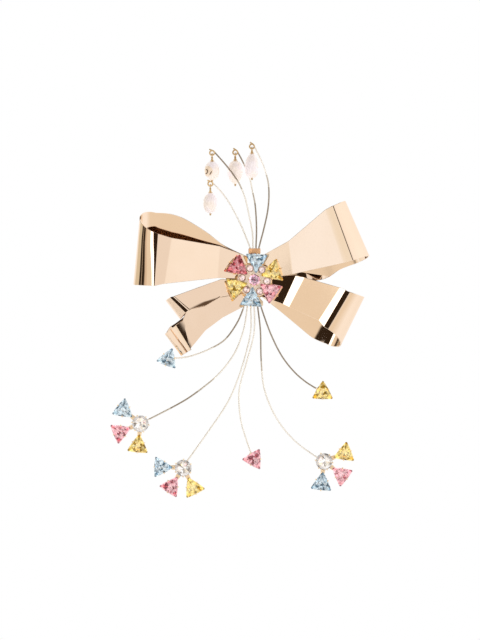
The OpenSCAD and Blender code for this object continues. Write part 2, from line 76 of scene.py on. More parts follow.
# %% Recipe and Signal
class Signal:
    """One value in a node tree, which can be added, multiplied and so on."""

    def __init__(self, recipe, socket):
        self.recipe, self.socket = recipe, socket

    def math(self, operation, first, second=0):
        return self.recipe.value("Math", {"operation": operation}, {0: first, 1: second})

    def __add__(self, other):
        return self.math("ADD", self, other)

    def __sub__(self, other):
        return self.math("SUBTRACT", self, other)

    def __rsub__(self, other):
        return self.math("SUBTRACT", other, self)

    def __mul__(self, other):
        return self.math("MULTIPLY", self, other)

    def __truediv__(self, other):
        return self.math("DIVIDE", self, other)

    __radd__, __rmul__ = __add__, __mul__


class Recipe:
    """The node tree of a material or of the studio."""

    def __init__(self, owner):
        owner.use_nodes = True
        self.owner, self.tree = owner, owner.node_tree
        self.tree.nodes.clear()

    def node(self, kind, settings=(), inputs=()):
        made = self.tree.nodes.new("ShaderNode" + kind)
        for name, value in dict(settings).items():
            setattr(made, name, value)
        for name, value in dict(inputs).items():
            if isinstance(value, Signal):
                self.tree.links.new(value.socket, made.inputs[name])
            else:
                made.inputs[name].default_value = value
        return made

    def value(self, kind, settings=(), inputs=(), output=0):
        """One output of a new node."""
        return Signal(self, self.node(kind, settings, inputs).outputs[output])

    def ramp(self, turn, stops):
        """Colour for a share of a full turn, from stops of an angle and a colour."""
        made = self.node("ValToRGB", (), {0: turn})
        elements = made.color_ramp.elements
        while len(elements) < len(stops):
            elements.new(1)
        for element, (angle, colour) in zip(elements, stops):
            element.position, element.color = angle / 360 + 0.5, (*colour, 1)
        return Signal(self, made.outputs[0])

    def place(self):
        """Where on its piece a point lies, in metres."""
        return self.value("TexCoord", output="Object")

    def blend(self, first, second, share):
        """Colour that goes from first to second as share goes from 0 to 1."""
        first, second = ((*c, 1) if isinstance(c, (tuple, list)) else c for c in (first, second))
        return self.value("Mix", {"data_type": "RGBA"}, {0: share, 6: first, 7: second}, 2)

    def between(self, value, low, high, to_low=0.0, to_high=1.0):
        """Smooth step from to_low to to_high while value goes from low to high."""
        return self.value("MapRange", {"interpolation_type": "SMOOTHSTEP"},
                          {0: value, 1: low, 2: high, 3: to_low, 4: to_high})

    def noise(self, place, scale, detail, roughness=0.5):
        return self.value("TexNoise", (), {"Vector": place, "Scale": scale, "Detail": detail, "Roughness": roughness})

    def finish(self, sockets):
        """Ends a material with a Principled shader that has these inputs."""
        self.node("OutputMaterial", (), {"Surface": self.value("BsdfPrincipled", (), sockets)})
        return self.owner


# %% [markdown]
# ## Studio
# Polished metal has no look of its own: it shows the room. Here the room is a set of soft panels round the
# brooch, written as a colour for each direction. A direction is given by its azimuth, 0 towards the camera and
# positive to the right. A surface that leans by some angle mirrors the room at twice that angle. Behind the
# camera the room is dark, left of it stands a white panel, and the rest is cream and peach.

# %% Studio colours
DARK, ZENITH, LAMP_RIM = (0.03, 0.018, 0.01), (0.12, 0.08, 0.055), (0.45, 0.38, 0.3)
WHITE_PANEL, CREAM, PALE_CREAM = (2.4, 2.4, 2.4), (1.03, 1.03, 1.03), (1.03, 1.07, 1.13)
TAN, PEACH, ROSE = (0.74, 0.62, 0.5), (0.87, 0.79, 0.67), (0.93, 0.91, 0.83)
PINK_PEACH = (0.9, 0.865, 0.84)
OLD_GOLD, BROWN = (0.72, 0.67, 0.54), (0.35, 0.25, 0.17)
ROUND_STOPS = [
    (-180, CREAM), (-118, CREAM), (-105, OLD_GOLD), (-74, OLD_GOLD), (-69, DARK), (-60.5, DARK),
    (-59.5, LAMP_RIM), (-57.5, LAMP_RIM), (-56.5, DARK), (-47, DARK), (-43, TAN), (-38, TAN), (-36, PEACH),
    (-22.5, PEACH), (-21, WHITE_PANEL), (-13, WHITE_PANEL), (-11.5, PINK_PEACH), (17, PINK_PEACH), (22, CREAM),
    (50, (1.1, 1.1, 1.1)), (180, CREAM)]
LOW_STOPS = [
    (-180, CREAM), (-130, CREAM), (-120, BROWN), (-110, BROWN), (-102, CREAM), (-50, (0.98, 0.97, 0.93)),
    (-32, ROSE), (-26, ROSE), (-21, PALE_CREAM), (-18, PALE_CREAM), (-14, (0.98, 0.98, 0.96)), (-6, PEACH),
    (20, PEACH), (45, CREAM), (180, CREAM)]

world = bpy.data.worlds.new("soft_studio")
bpy.context.scene.world = world
room = Recipe(world)
view = room.value("TexCoord", output="Generated")
east, north, height = (room.value("SeparateXYZ", (), {0: view}, k) for k in range(3))
azimuth = east.math("ARCTAN2", east, 0 - north) / tau + 0.5
colour = room.blend(room.ramp(azimuth, LOW_STOPS), room.ramp(azimuth, ROUND_STOPS),
                    room.between(height, -0.13, -0.09))
aside = azimuth.math("ABSOLUTE", azimuth - (0.5 - 1 / 360))
above = height.math("ABSOLUTE", height)
off_camera = aside.math("MAXIMUM", room.between(aside, 10 / 360, 11.5 / 360), room.between(above, 0.13, 0.17))
colour = room.blend(DARK, colour, off_camera)
over_camera = room.between(height, 0.42, 0.5) * room.between(north, -0.3, -0.1, 1.0, 0.0)
colour = room.blend(colour, ZENITH, over_camera)
colour = room.blend((0.95, 0.93, 0.9), colour, room.between(height, -0.6, -0.4))
room.node("OutputWorld", (), {"Surface": room.value("MixShader", (), {
    0: room.value("LightPath", output="Is Camera Ray"), 1: room.value("Background", (), {"Color": colour}),
    2: room.value("Background", (), {"Color": (1, 1, 1, 1)})})})
bpy.context.scene.view_settings.view_transform = "Standard"
print("studio of", len(ROUND_STOPS), "stops")

# %% [markdown]
# ## Bench helpers
# Each piece is made on the bench at 1 unit = 1 mm, so that tools with a fixed tolerance work well, and is then
# laid in its place in metres. An operator acts on all that is selected, so everything is put down first.


# %% Selecting and opening
def put_down():
    if bpy.context.mode != "OBJECT":
        bpy.ops.object.mode_set(mode="OBJECT")
    bpy.ops.object.select_all(action="DESELECT")


def hold(*pieces):
    """Selects these pieces alone; the first is the active one."""
    put_down()
    for piece in pieces:
        piece.select_set(True)
    bpy.context.view_layer.objects.active = pieces[0]


def take_all():
    bpy.ops.mesh.select_all(action="SELECT")


def open_up(piece):
    """Opens a piece in edit mode with all of it selected."""
    hold(piece)
    bpy.ops.object.mode_set(mode="EDIT")
    take_all()
    return piece


def start(primitive, **settings):
    """Adds a primitive and opens it."""
    put_down()
    primitive(**settings)
    return open_up(bpy.context.object)


def pick(piece, kind, test):
    """In edit mode, selects the vertices, edges or faces that pass a test."""
    bpy.ops.mesh.select_mode(type={"verts": "VERT", "edges": "EDGE", "faces": "FACE"}[kind])
    bpy.ops.mesh.select_all(action="DESELECT")
    mesh = bmesh.from_edit_mesh(piece.data)
    for e in getattr(mesh, kind):
        if test(e):
            e.select_set(True)
    mesh.select_flush_mode()
    bmesh.update_edit_mesh(piece.data)


def shift(piece, indices, step):
    """In edit mode, moves the vertices with these numbers by a step."""
    pick(piece, "verts", lambda v: v.index in indices)
    bpy.ops.transform.translate(value=step)


# %% Shaping
def extrude(step):
    bpy.ops.mesh.extrude_region_move(TRANSFORM_OT_translate={"value": step})


def turn_out():
    """In edit mode, turns all faces outwards."""
    take_all()
    bpy.ops.mesh.normals_make_consistent(inside=False)


def shape_with(piece, kind, **settings):
    """Adds a modifier with these settings and applies it."""
    hold(piece)
    bpy.ops.object.modifier_add(type=kind)
    modifier = piece.modifiers[-1]
    for name, value in settings.items():
        setattr(modifier, name, value)
    bpy.ops.object.modifier_apply(modifier=modifier.name)


def break_edges(piece, width, segments=2, over=30, clamp=True):
    """Bevels the edges that turn by more than an angle in degrees."""
    shape_with(piece, "BEVEL", width=width, segments=segments, limit_method="ANGLE", angle_limit=radians(over),
               use_clamp_overlap=clamp)
    return piece


def smooth(piece, angle=40):
    hold(piece)
    bpy.ops.object.shade_smooth_by_angle(angle=radians(angle))
    return piece


def join(*pieces):
    hold(*pieces)
    bpy.ops.object.join()
    return pieces[0]


# %% Laying in place
def settle(piece):
    """Bakes a piece's place, turn and size into its mesh."""
    hold(piece)
    bpy.ops.object.transform_apply(location=True, rotation=True, scale=True)
    return piece


def move_on_bench(piece, matrix):
    piece.matrix_world = matrix
    return settle(piece)


def dress(piece, *finishes):
    """Gives a piece its finishes; the first is on all faces."""
    piece.data.materials.clear()
    for material in finishes:
        piece.data.materials.append(material)
    return piece


def lay_in_place(piece, name, slot, *nodes):
    """Brings a dressed piece from the bench's millimetres to metres and puts it in for its CAD nodes."""
    move_on_bench(piece, Matrix.Scale(MM, 4))
    piece.name = piece.data.name = name
    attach(piece, "root")
    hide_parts(*nodes)
    put_down()


print("bench ready; CAD nodes put down:", len(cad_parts))

# %% [markdown]
# ## Gold finishes
# The bow is polished to a mirror, so its metal needs hardly any texture: a faint unevenness of the sheet and of
# the polish, which shows as soft wobbles and hazes in the reflections. The settings are yellower. The wires are
# matt and pale, with a faint glow of painted light, and have darker stretches of painted shade. The plate under the
# petals is brushed, and has a faint glow, painted light for the light that the stones throw on it; the settings on
# the drops glow faintly too. The pearls' rings are antique gold, the ferrule is coppery, and the inside of the loops
# is a dull brown gold, which is painted shade.


# %% Gold
def metal(name, deep, light, gloss, haze, wave, painted_light=0):
    """Metal with two close tones, a gloss that varies by haze and a surface that is uneven by wave, in
    thousandths of a mm. The glow is painted light: an even emission in the lighter tone, which stands for the light
    that the stones throw on the metal between them and makes the wires paler."""
    mix = Recipe(bpy.data.materials.new(name))
    place = mix.place()
    cloud = mix.between(mix.noise(place, 60, 3), 0.3, 0.7)
    grain = mix.noise(place, 900, 3, 0.6)
    bump = mix.value("Bump", (), {
        "Strength": 1, "Distance": wave * MICRON, "Height": mix.noise(place, 110, 1) + grain * 0.03})
    return mix.finish({
        "Base Color": mix.blend(deep, light, cloud), "Roughness": gloss + haze * grain, "Metallic": 1.0,
        "Normal": bump, "Emission Color": (*light, 1), "Emission Strength": painted_light})


polished_gold = metal("polished_gold", (0.94, 0.735, 0.56), (0.955, 0.755, 0.585), 0.03, 0.04, 6)
setting_gold = metal("setting_gold", (0.88, 0.64, 0.36), (0.95, 0.76, 0.5), 0.12, 0.1, 6)
# The wires' gold glows faintly with painted light; the two darker golds after it are painted shade for the wires'
# darker stretches and their fade.
wire_gold_with_painted_light = metal("wire_gold_with_painted_light", (0.85, 0.8, 0.72), (0.94, 0.9, 0.84), 0.45, 0.04, 1, 0.12)
shaded_wire = metal("shaded_wire", (0.36, 0.3, 0.24), (0.46, 0.39, 0.31), 0.34, 0.12, 3)
fading_shade_wire = metal("fading_shade_wire", (0.6, 0.53, 0.44), (0.69, 0.63, 0.54), 0.38, 0.1, 3, 0.06)
brushed_gold = metal("brushed_gold", (0.93, 0.76, 0.54), (0.97, 0.84, 0.64), 0.45, 0.15, 10)
# The drops' settings and the plate among the stones glow with painted light.
spray_gold = metal("soft_gold_of_the_drops_with_painted_light", (0.9, 0.7, 0.46), (0.97, 0.83, 0.62), 0.4, 0.1, 5, 0.12)
lit_gold = metal("brushed_gold_with_painted_light", (0.95, 0.8, 0.64), (0.98, 0.87, 0.76), 0.45, 0.15, 10, 0.3)
antique_gold = metal("antique_gold", (0.62, 0.42, 0.2), (0.8, 0.6, 0.34), 0.2, 0.15, 10)
copper_gold = metal("copper_gold", (0.88, 0.48, 0.24), (0.95, 0.6, 0.34), 0.32, 0.1, 6)
# The dark brown gold is painted shade, inside the loops and on the cut edge of the upper left loop.
painted_shade_gold = metal("inner_gold_with_painted_shade", (0.16, 0.08, 0.035), (0.22, 0.115, 0.05), 0.25, 0.2, 10)
print("gold finishes:", polished_gold.name, setting_gold.name, painted_shade_gold.name)

# %% [markdown]
# ## Ribbons
# Each ribbon of the bow is a strip of sheet, folded by hand over a former: flat panels with soft creases, and a
# round turn at the end of the loop. It could be carved from a block or drawn as a curve, but a strip is best made
# as it is folded: one edge is extruded from line to line, the flat strip gets its thickness from Solidify, and a
# narrow bevel breaks the sheet's edges. Each line across the strip is given by its lower and upper end. Where an
# edge was pinched, a band is cut off along it with Bisect and its middle is drawn out.

# %% Lines across a ribbon
CREASE = 0.55


def line(row):
    """Lower and upper end of a line across, from (x, z, x, z, lower depth, upper depth)."""
    x_low, z_low, x_high, z_high, depth_low, depth_high = row[:6]
    return Vector((x_low, -depth_low, z_low)), Vector((x_high, -depth_high, z_high))


def between(first, second, share):
    return tuple(a.lerp(b, share) for a, b in zip(first, second))


def crease_steps(row):
    """Distances of the close lines beside a crease; a row's seventh value is its own width, 0 for a sharp one."""
    wide = row[6] if len(row) > 6 else CREASE
    return [0.25 * wide, wide] if wide else [0]


def panel_lines(rows):
    """Lines of flat panels that meet at the rows, with two close lines on each side of every soft crease."""
    lines = [line(rows[0])]
    for k in range(1, len(rows)):
        first, second = line(rows[k - 1]), line(rows[k])
        length = (sum(second, Vector()) - sum(first, Vector())).length / 2
        shares = [c / length for c in crease_steps(rows[k - 1]) if c] if k > 1 else []
        shares += [0.5] if length > 4 else []
        shares += [1 - c / length for c in reversed(crease_steps(rows[k]))]
        lines += [between(first, second, s) for s in shares]
    return lines


# %% Curves through lines
def roll_rows(last, out, profile):
    """Rows of a rolled end: each lies at a share of the way from the last crease to the outermost line, at its
    own lower and upper depth."""
    return [(*(a + (b - a) * share for a, b in zip(last[:4], out)), low, high) for share, low, high in profile]


def on_curve(p, q, r, w, t):
    """Point at a share t of the way from q to r, on a smooth curve through all four."""
    return 0.5 * (2 * q + (r - p) * t + (2 * p - 5 * q + 4 * r - w) * t * t + (3 * q - p - 3 * r + w) * t ** 3)


def curve_through(points, steps, straight=0):
    """Points on a smooth curve through all of these; its first stretches can stay straight. The first and the last
    point stand in for the missing ones beyond the ends."""
    padded = [points[0], *points, points[-1]]
    curve = [on_curve(*padded[k:k + 4], s / steps) for k in range(straight, len(points) - 1) for s in range(steps)]
    return [*points[:straight], *curve, points[-1]]


def curve_lines(rows, steps=4):
    """Lines on a smooth curve through all rows."""
    return list(zip(*(curve_through(ends, steps) for ends in zip(*map(line, rows)))))


# %% Round turn
TURN_STEPS = 36


def turn_lines(front, out, back, leads):
    """Lines round the turned end, from the front panel's last line to the back panel's first. The leads are the
    angles at which its lower and its upper end start, so that it can leave the front panel with a crease."""
    first, last = line(front), line(back)
    depths = [(a + b) / 2 for a, b in zip(front[4:6], back[4:6])]
    outer = line((*out[:4], *depths))
    lines = []
    for k in range(1, TURN_STEPS):
        ends = []
        for f, b, o, lead in zip(first, last, outer, leads):
            angle = radians(lead + (180 - lead) * k / TURN_STEPS)
            reach, start_at = sin(angle), sin(radians(lead))
            if angle < pi / 2:
                reach = (reach - start_at) / (1 - start_at)
            side = cos(angle) / (cos(radians(lead)) if angle < pi / 2 else 1)
            ends.append((f + b) / 2 + (f - b) / 2 * side + (o - (f + b) / 2) * reach)
        lines.append(tuple(ends))
    return lines


# %% Bend a strip of sheet
def bend_strip(lines):
    """Strip through the lines: two edges of a plane go to the first two, and the second is extruded on."""
    strip = start(bpy.ops.mesh.primitive_plane_add, size=1)
    corners = [v.co.copy() for v in strip.data.vertices]
    wanted = [lines[0][0], lines[1][0], lines[0][1], lines[1][1]]
    for k in range(4):
        shift(strip, [k], wanted[k] - corners[k])
    low, high = 1, 3
    for before, after in zip(lines[1:], lines[2:]):
        pick(strip, "verts", lambda v: v.index in (low, high))
        extrude(after[0] - before[0])
        mesh = bmesh.from_edit_mesh(strip.data)
        mesh.verts.index_update()
        new = sorted((v for v in mesh.verts if v.select), key=lambda v: (v.co - after[0]).length)
        low, high = new[0].index, new[1].index
        shift(strip, [high], (after[1] - before[1]) - (after[0] - before[0]))
    pick(strip, "edges", lambda e: is_rung(e, lines))
    bpy.ops.mesh.subdivide(number_cuts=3)
    return strip


def is_rung(edge, lines):
    """True for an edge that runs from a line's lower end to its upper end."""
    a, b = (v.co for v in edge.verts)
    return any((a - p).length + (b - q).length < 1e-3 or (a - q).length + (b - p).length < 1e-3
               for p, q in lines)


# %% Fold a ribbon
SHEET, BROKEN_EDGE = 0.8, 0.14


def lean(first, second):
    """Angle by which a panel leans, seen from the front: to the side and up, in degrees."""
    normal = (second[0] - first[0]).cross(first[1] - first[0]).normalized()
    if normal.y > 0:
        normal.negate()
    return [round(degrees(atan2(v, -normal.y)), 1) for v in (normal.x, normal.z)]


def fold(front, rest, sharp):
    """Ribbon of sheet with flat front panels and then the rest of its lines."""
    print("panels lean", *(lean(line(a), line(b)) for a, b in zip(front, front[1:])))
    strip = bend_strip(panel_lines(front) + rest)
    shape_with(strip, "SOLIDIFY", thickness=SHEET, offset=0, use_even_offset=True)
    return smooth(break_edges(strip, BROKEN_EDGE, over=60, clamp=False), sharp)


def fold_loop(front, out, back, leads=(0.0, 0.0)):
    """Ribbon with a round turn and a smoothly curved back."""
    return fold(front, turn_lines(front[-1], out, back[0], leads) + curve_lines(back), 20)


def fold_rolled(front, out, profile, back):
    """Ribbon whose end is rolled to a profile, with sharp edges."""
    return fold(front, curve_lines(roll_rows(front[-1], out, profile) + back, 3), 8)


# %% Flares, dull faces and laying in place
def flare(ribbon, low, high, across, moves):
    """Cuts a band off a panel along its lower edge and moves the edge's vertices out, most in the middle. The
    panel lies between the corners low and high, across is a point and the normal of the cut, and each move is the
    least x, the greatest x and the step of the vertices below the cut."""
    def inside(point):
        return all(a < p < b for a, p, b in zip(low, point, high))

    point, normal = (Vector(v) for v in across)
    open_up(ribbon)
    pick(ribbon, "faces", lambda f: all(inside(v.co) for v in f.verts))
    bpy.ops.mesh.bisect(plane_co=point, plane_no=normal)
    bpy.ops.mesh.mark_sharp()
    for left, right, step in moves:
        pick(ribbon, "verts", lambda v: inside(v.co) and left < v.co.x < right
             and (v.co - point).dot(normal) < -0.05)
        bpy.ops.transform.translate(value=step)


def paint_shade(piece, left, right, near, far, test):
    """Paints shade on the faces in a range of x and depth whose normal passes a test: they get the dark brown gold,
    which is painted shade.
    """
    for face in piece.data.polygons:
        if left < face.center.x / MM < right and near < -face.center.y / MM < far and test(face.normal):
            face.material_index = 1


def lay_ribbon(ribbon, name, left, right, depth):
    """Puts a ribbon in for its CAD node. The inside of its front panel gets a dark brown gold, which is painted
    shade."""
    lay_in_place(dress(ribbon, polished_gold, painted_shade_gold), name, "polished_gold", "bow_" + name)
    paint_shade(ribbon, left, right, depth, 99, lambda normal: normal.y > 0.3)
    print(name, "has", len(ribbon.data.polygons), "faces")


# %% [markdown]
# ## Upper left loop
# The front layer rises from the knot in three panels, turns at the far left and comes back behind. The back layer
# leans forward at its top, so that it mirrors the dark inside of the loop just over the front layer's edge.

# %% Upper left loop
upper_left = fold_loop(leads=(16, 0), out=(-59.0, -2.2, -55.9, 30.3), front=[
    (-3.4, 0.4, -3.4, 11.6, 9.8, 9.8), (-18.1, 1.0, -17.1, 16.6, 12.25, 12.15),
    (-44.1, -1.9, -40.6, 20.6, 17.55, 16.95), (-48.9, -2.9, -47.2, 22.6, 18.25, 17.95, 0.05),
    (-49.1, -2.9, -48.4, 23.2, 18.25, 17.95, 0.05)], back=[
    (-48.5, -1.5, -48.4, 33.0, 4.0, 11.0), (-42.5, -0.9, -41.6, 32.5, 4.0, 10.8), (-36, -0.2, -34.2, 30.0, 4.2, 10.4),
    (-28, 1.5, -23.3, 23.4, 5.8, 9.1), (-16, 2.4, -15, 17.1, 6.8, 8.1), (-3.4, 1.0, -3.4, 11.6, 7.3, 7.3)])
lay_ribbon(upper_left, "loop_upper_left", left=-52, right=-8, depth=10.8)
# The cut edge on top of the back layer gets the same dark gold, painted shade that shows as a thin dark line.
paint_shade(upper_left, left=-41, right=-8, near=3, far=10.8, test=lambda normal: normal.y < 0 and normal.z > 0.28)

# %% [markdown]
# ## Upper right loop
# It is folded the same way, but its end is creased before it turns. A narrow flat facet on the crease mirrors the
# dark camera as a thin line. Behind, the lower edge is flared, so that it mirrors the dark over the camera.

# %% Upper right loop
upper_right = fold_loop(leads=(28, 28), out=(56.0, 11.6, 44.2, 38.6), front=[
    (3.4, 0.6, 3.4, 11.8, 9.9, 10.7), (18.9, 2.9, 16.8, 19.2, 11.8, 12.9),
    (43.6, 8.3, 34.6, 34.4, 16.6, 17.35, 2.2),
    (48.0, 9.45, 38.2, 36.2, 17.78, 18.38, 0.05), (48.3, 9.53, 38.5, 36.32, 17.79, 18.39, 0.05)], back=[
    (49.5, 8.0, 39.5, 35.5, 6.6, 8.6), (42, 5.2, 33.5, 31.0, 6.0, 8.8), (34.5, 0.6, 27, 25.5, 6.0, 8.6),
    (22, -0.8, 16, 17.8, 6.3, 8.2), (3.4, 0.0, 3.4, 11.8, 7.45, 8.35)])
flare(upper_right, low=(18, -10.2, -3), high=(40, -4, 13), across=((29.6, 0, 2.9), (0.153, 0, 0.988)),
      moves=[(24, 33.5, (0, -0.5, 0)), (27, 33.5, (0, -1.0, 0))])
lay_ribbon(upper_right, "loop_upper_right", left=8, right=46, depth=10.8)

# %% [markdown]
# ## Lower right loop
# Beside the flower this ribbon is flat and mirrors the dark camera, then a narrow panel mirrors the white light,
# a broad one the peach wall, and another narrow one the white light again before the end turns.

# %% Lower right loop
lower_right = fold_loop(out=(42.2, -31.2, 53.6, -8.2), front=[
    (3.4, -8.0, 3.4, 1.0, 9.05, 9.05), (14.0, -11.8, 20.2, 2.1, 9.9, 9.9), (17.0, -13.3, 24.3, 1.3, 10.5, 10.5),
    (31.6, -20.0, 42.2, -3.85, 14.7, 14.8), (34.0, -23.0, 44.6, -4.9, 15.3, 15.3, 0.2),
    (34.8, -23.5, 45.6, -5.5, 15.3, 15.3, 0.2)], back=[
    (35.0, -31.2, 46.5, -5.6, 5.8, 6.2), (28.5, -28.3, 38, -4.8, 5.0, 7.5), (20.8, -22.1, 22, -2.7, 6.2, 8.2),
    (12, -14.8, 10, -1.2, 7.3, 8.9), (3.4, -8.0, 3.4, -0.7, 7.25, 7.95)])
lay_ribbon(lower_right, "loop_lower_right", left=8, right=40, depth=9.2)

# %% [markdown]
# ## Lower left tail
# Two short ribbons, one over the other, are rolled at their ends and soldered together at the knot. The upper
# one's lower edge is pinched to a pleat.

# %% Lower left tail
tail_upper = fold_rolled(out=(-36.1, -18.9, -43.1, -9.8), front=[
    (-3.4, -6.0, -3.4, -0.6, 9.8, 9.2), (-16.6, -8.4, -16.1, 0.5, 11.25, 10.35),
    (-31.7, -14.4, -39.3, -7.9, 14.2, 14.6, 0), (-31.95, -14.7, -39.55, -8.0, 14.2, 14.6, 0),
    (-32.4, -15.1, -39.95, -8.1, 14.3, 14.7, 0), (-33.7, -15.9, -41.2, -8.4, 14.3, 14.7, 0),
    (-35.7, -18.4, -42.7, -9.4, 11.8, 13.3, 0)], profile=[
    (0.6, 11.1, 12.5), (1.0, 10.3, 11.5), (0.6, 9.3, 10.1)], back=[
    (-32.8, -16.4, -39.0, -7.9, 8.0, 8.2), (-20, -9.8, -20.4, -1.4, 8.2, 8.2), (-3.4, -6.0, -3.4, -0.6, 8.1, 8.1)])
flare(tail_upper, low=(-32.3, -15.6, -18), high=(-15.5, -9.9, 3), across=((-24.2, 0, -10.6), (-0.37, 0, 0.93)),
      moves=[(-27, -21, (0.45, -0.9, -1.1))])
tail_lower = fold_rolled(out=(-35.3, -36.8, -43.6, -26.2), front=[
    (-3.4, -12.0, -3.4, -5.4, 9.65, 8.95), (-15.4, -18.3, -16.6, -5.5, 11.05, 9.75),
    (-24.0, -24.7, -26.5, -11.6, 12.95, 11.95, 2.0), (-28.5, -30.2, -33.6, -15.6, 14.15, 13.5, 1.0),
    (-31.3, -33.6, -35.2, -20.0, 14.9, 14.1, 0),
    (-31.0, -34.2, -38.4, -22.1, 14.95, 14.2, 0)], profile=[
    (0.08, 14.8, 14.05), (0.12, 14.5, 13.7), (0.48, 13.2, 11.9), (0.51, 12.9, 11.6), (0.54, 12.85, 11.55),
    (0.88, 11.2, 9.6), (1.0, 10.1, 8.6), (0.97, 9.4, 7.9)], back=[
    (-31.6, -33.2, -41.5, -23.0, 7.0, 7.0), (-28.0, -28.8, -38.5, -21.0, 6.8, 6.9),
    (-20, -20.4, -22, -9.5, 7.4, 7.6), (-3.4, -11.4, -3.4, -5.4, 7.9, 7.9)])
lay_ribbon(join(tail_upper, tail_lower), "tail_lower_left", left=-34, right=-8, depth=8.9)

# %% [markdown]
# ## Cut stones
# A stone could be modelled by moving vertices, but a lapidary grinds flat facets off a rough block, and Bisect
# does exactly that: each cut removes what lies outside a plane and closes the face. All facets of a belt have the
# same slope and go round the stone. The girdle's lower edge is at height 0 and the table is on top.

# %% Grinding
TABLE, GIRDLE, POINT = 1.2, 0.15, -2.6


def rough(wide, table, point):
    """Rough block from the stone's point to its table."""
    return open_up(settle(start(bpy.ops.mesh.primitive_cube_add, size=1, location=(0, 0, (table + point) / 2),
                                scale=(3 * wide, 3 * wide, table - point))))


def grind(angles, slope, reach, height):
    """One belt of facets: each faces outwards at an angle, leans by slope from level, up for a crown and down
    for a pavilion (negative slope), and passes at a reach from the axis at that height."""
    tilt = radians(abs(slope))
    for angle in angles:
        a = radians(angle)
        out = Vector((cos(a), sin(a), 0))
        normal = out if slope == 90 else out * sin(tilt) + Vector((0, 0, copysign(cos(tilt), slope)))
        take_all()
        bpy.ops.mesh.bisect(plane_co=out * reach + Vector((0, 0, height)), plane_no=normal,
                            use_fill=True, clear_outer=True, threshold=1e-4)


def every(step, first=0.0, *offsets):
    """Angles round the stone at even steps, each with its offsets."""
    return [first + step * k + o for k in range(round(360 / step)) for o in (offsets or (0,))]


def off_the_wheel(stone):
    take_all()
    bpy.ops.mesh.remove_doubles(threshold=1e-3)
    turn_out()
    put_down()
    return stone


# %% Triangular stone
SIDE, CORNER = 3.25, 5.6


def cut_triangle():
    stone = rough(5.75, TABLE, POINT)
    grind(every(120, 60, 0), 90, SIDE, 0)
    grind(every(120, 60, -3.5, 3.5), 90, 3.33, 0)
    grind(every(120), 90, CORNER, 0)
    grind(every(120, 60, -3.5, 0, 3.5), 39, SIDE, GIRDLE)
    grind(every(120), 27, CORNER, GIRDLE)
    grind(every(120, 60, -30, 30), 21, 2.62, 1.08)
    for first, reach in ((60, SIDE), (0, CORNER)):
        grind(every(120, first), -degrees(atan(-POINT / reach)), 0, POINT)
    return off_the_wheel(stone)


triangle = cut_triangle()
print("triangular stone:", len(triangle.data.polygons), "facets")

# %% Round stones
ROUND, CENTRE, ACCENT = 4.1, 2.75, 1.55


def cut_round(radius, table, point, sides=8):
    stone = rough(radius, table, point)
    step = 360 / sides
    pavilion = degrees(atan(-point / radius))
    grind(every(step / 2, step / 4), 90, radius * 0.985, 0)
    grind(every(step / 2, step / 4), 44, radius * 0.985, GIRDLE)
    grind(every(step, step / 2), 33, radius * 0.97, GIRDLE + 0.05)
    grind(every(step, 0), 24, radius * 0.66, table - 0.1)
    grind(every(step, step / 2), -pavilion, 0, point)
    grind(every(step, step / 2, -step / 4, step / 4), -pavilion - 1.8, radius * 0.55, point * 0.43)
    return off_the_wheel(stone)


round_stone = cut_round(ROUND, TABLE, POINT)
centre_stone = cut_round(CENTRE, 1.1, -2.4)
accent_stone = cut_round(ACCENT, 0.7, -1.0, 6)
print("round stone:", len(round_stone.data.polygons), "facets")

# %% [markdown]
# ## Stone finishes
# Glass stones of such brooches are backed with foil: light goes in through the clear crown, is thrown about
# between the foiled facets behind, and comes out tinted. So the facets behind the girdle are a tinted mirror, deeper
# at the corners than along the sides, the crown round the table is tinted glass, and the table is clear.


# %% Coloured glass
def cut_glass(name, tint):
    """Clear glass with a faint cloud of its tint."""
    mix = Recipe(bpy.data.materials.new(name))
    cloud = mix.between(mix.noise(mix.place(), 400, 2), 0.35, 0.65)
    return mix.finish({
        "Base Color": mix.blend(tint, [0.6 * c + 0.4 for c in tint], cloud), "Roughness": 0.0,
        "Transmission Weight": 1.0, "IOR": 1.4})


def foil(name, dark, bright, painted_light):
    """Tinted foil behind the stone, bright with dark spots, which are painted dark reflections. Its faint glow is
    painted light for the light that the smallest facets throw about."""
    mix = Recipe(bpy.data.materials.new(name))
    patch = mix.between(mix.noise(mix.place(), 520, 1), 0.36, 0.46)
    shade = mix.blend(dark, bright, patch)
    return mix.finish({
        "Base Color": shade, "Roughness": 0.05 + patch * 0.05, "Metallic": 1.0, "Emission Color": shade,
        "Emission Strength": painted_light})


TINTS = {
    "pale_blue": ((0.98, 0.99, 0.99), (0.66, 0.78, 0.86)), "yellow": ((1.0, 0.97, 0.78), (1.0, 0.84, 0.4)),
    "pink": ((1.0, 0.9, 0.91), (0.95, 0.6, 0.65)), "red_pink": ((1.0, 0.8, 0.82), (0.86, 0.36, 0.4)),
    "violet": ((1.0, 0.9, 0.94), (0.9, 0.68, 0.77)), "clear": ((1.0, 1.0, 1.0), (0.98, 0.95, 0.93)),
    "blush": ((1.0, 0.95, 0.94), (0.97, 0.86, 0.85))}


def stone_finishes(name, tint, deep):
    """Rim glass, table glass, a foil for the pavilion's sides and a deeper one for its corners."""
    # The foils' glow is painted light, and the dark tone gives the side foil its spots of painted dark reflection.
    painted_light = 0.18 if min(deep) < 0.8 else 0.21
    pale = [0.8 * a + 0.2 * b for a, b in zip(tint, deep)]
    dark = [0.35 * c * c for c in deep]
    full = [c ** 3 for c in deep]
    return [cut_glass(name + "_rim_glass", deep), cut_glass(name + "_table_glass", (1, 1, 1)),
            foil(name + "_side_foil", dark, pale, 1.2 * painted_light), foil(name + "_corner_foil", full, deep, 0.8 * painted_light)]


GLASS = {name: stone_finishes(name, *tones) for name, tones in TINTS.items()}
print("glass colours:", len(GLASS))

# %% [markdown]
# ## Where the stones sit
# The tables repeat the CAD source's places: six petals round the flower, six small stones between them, three
# single stones and three sprays of one round stone with three triangular ones.

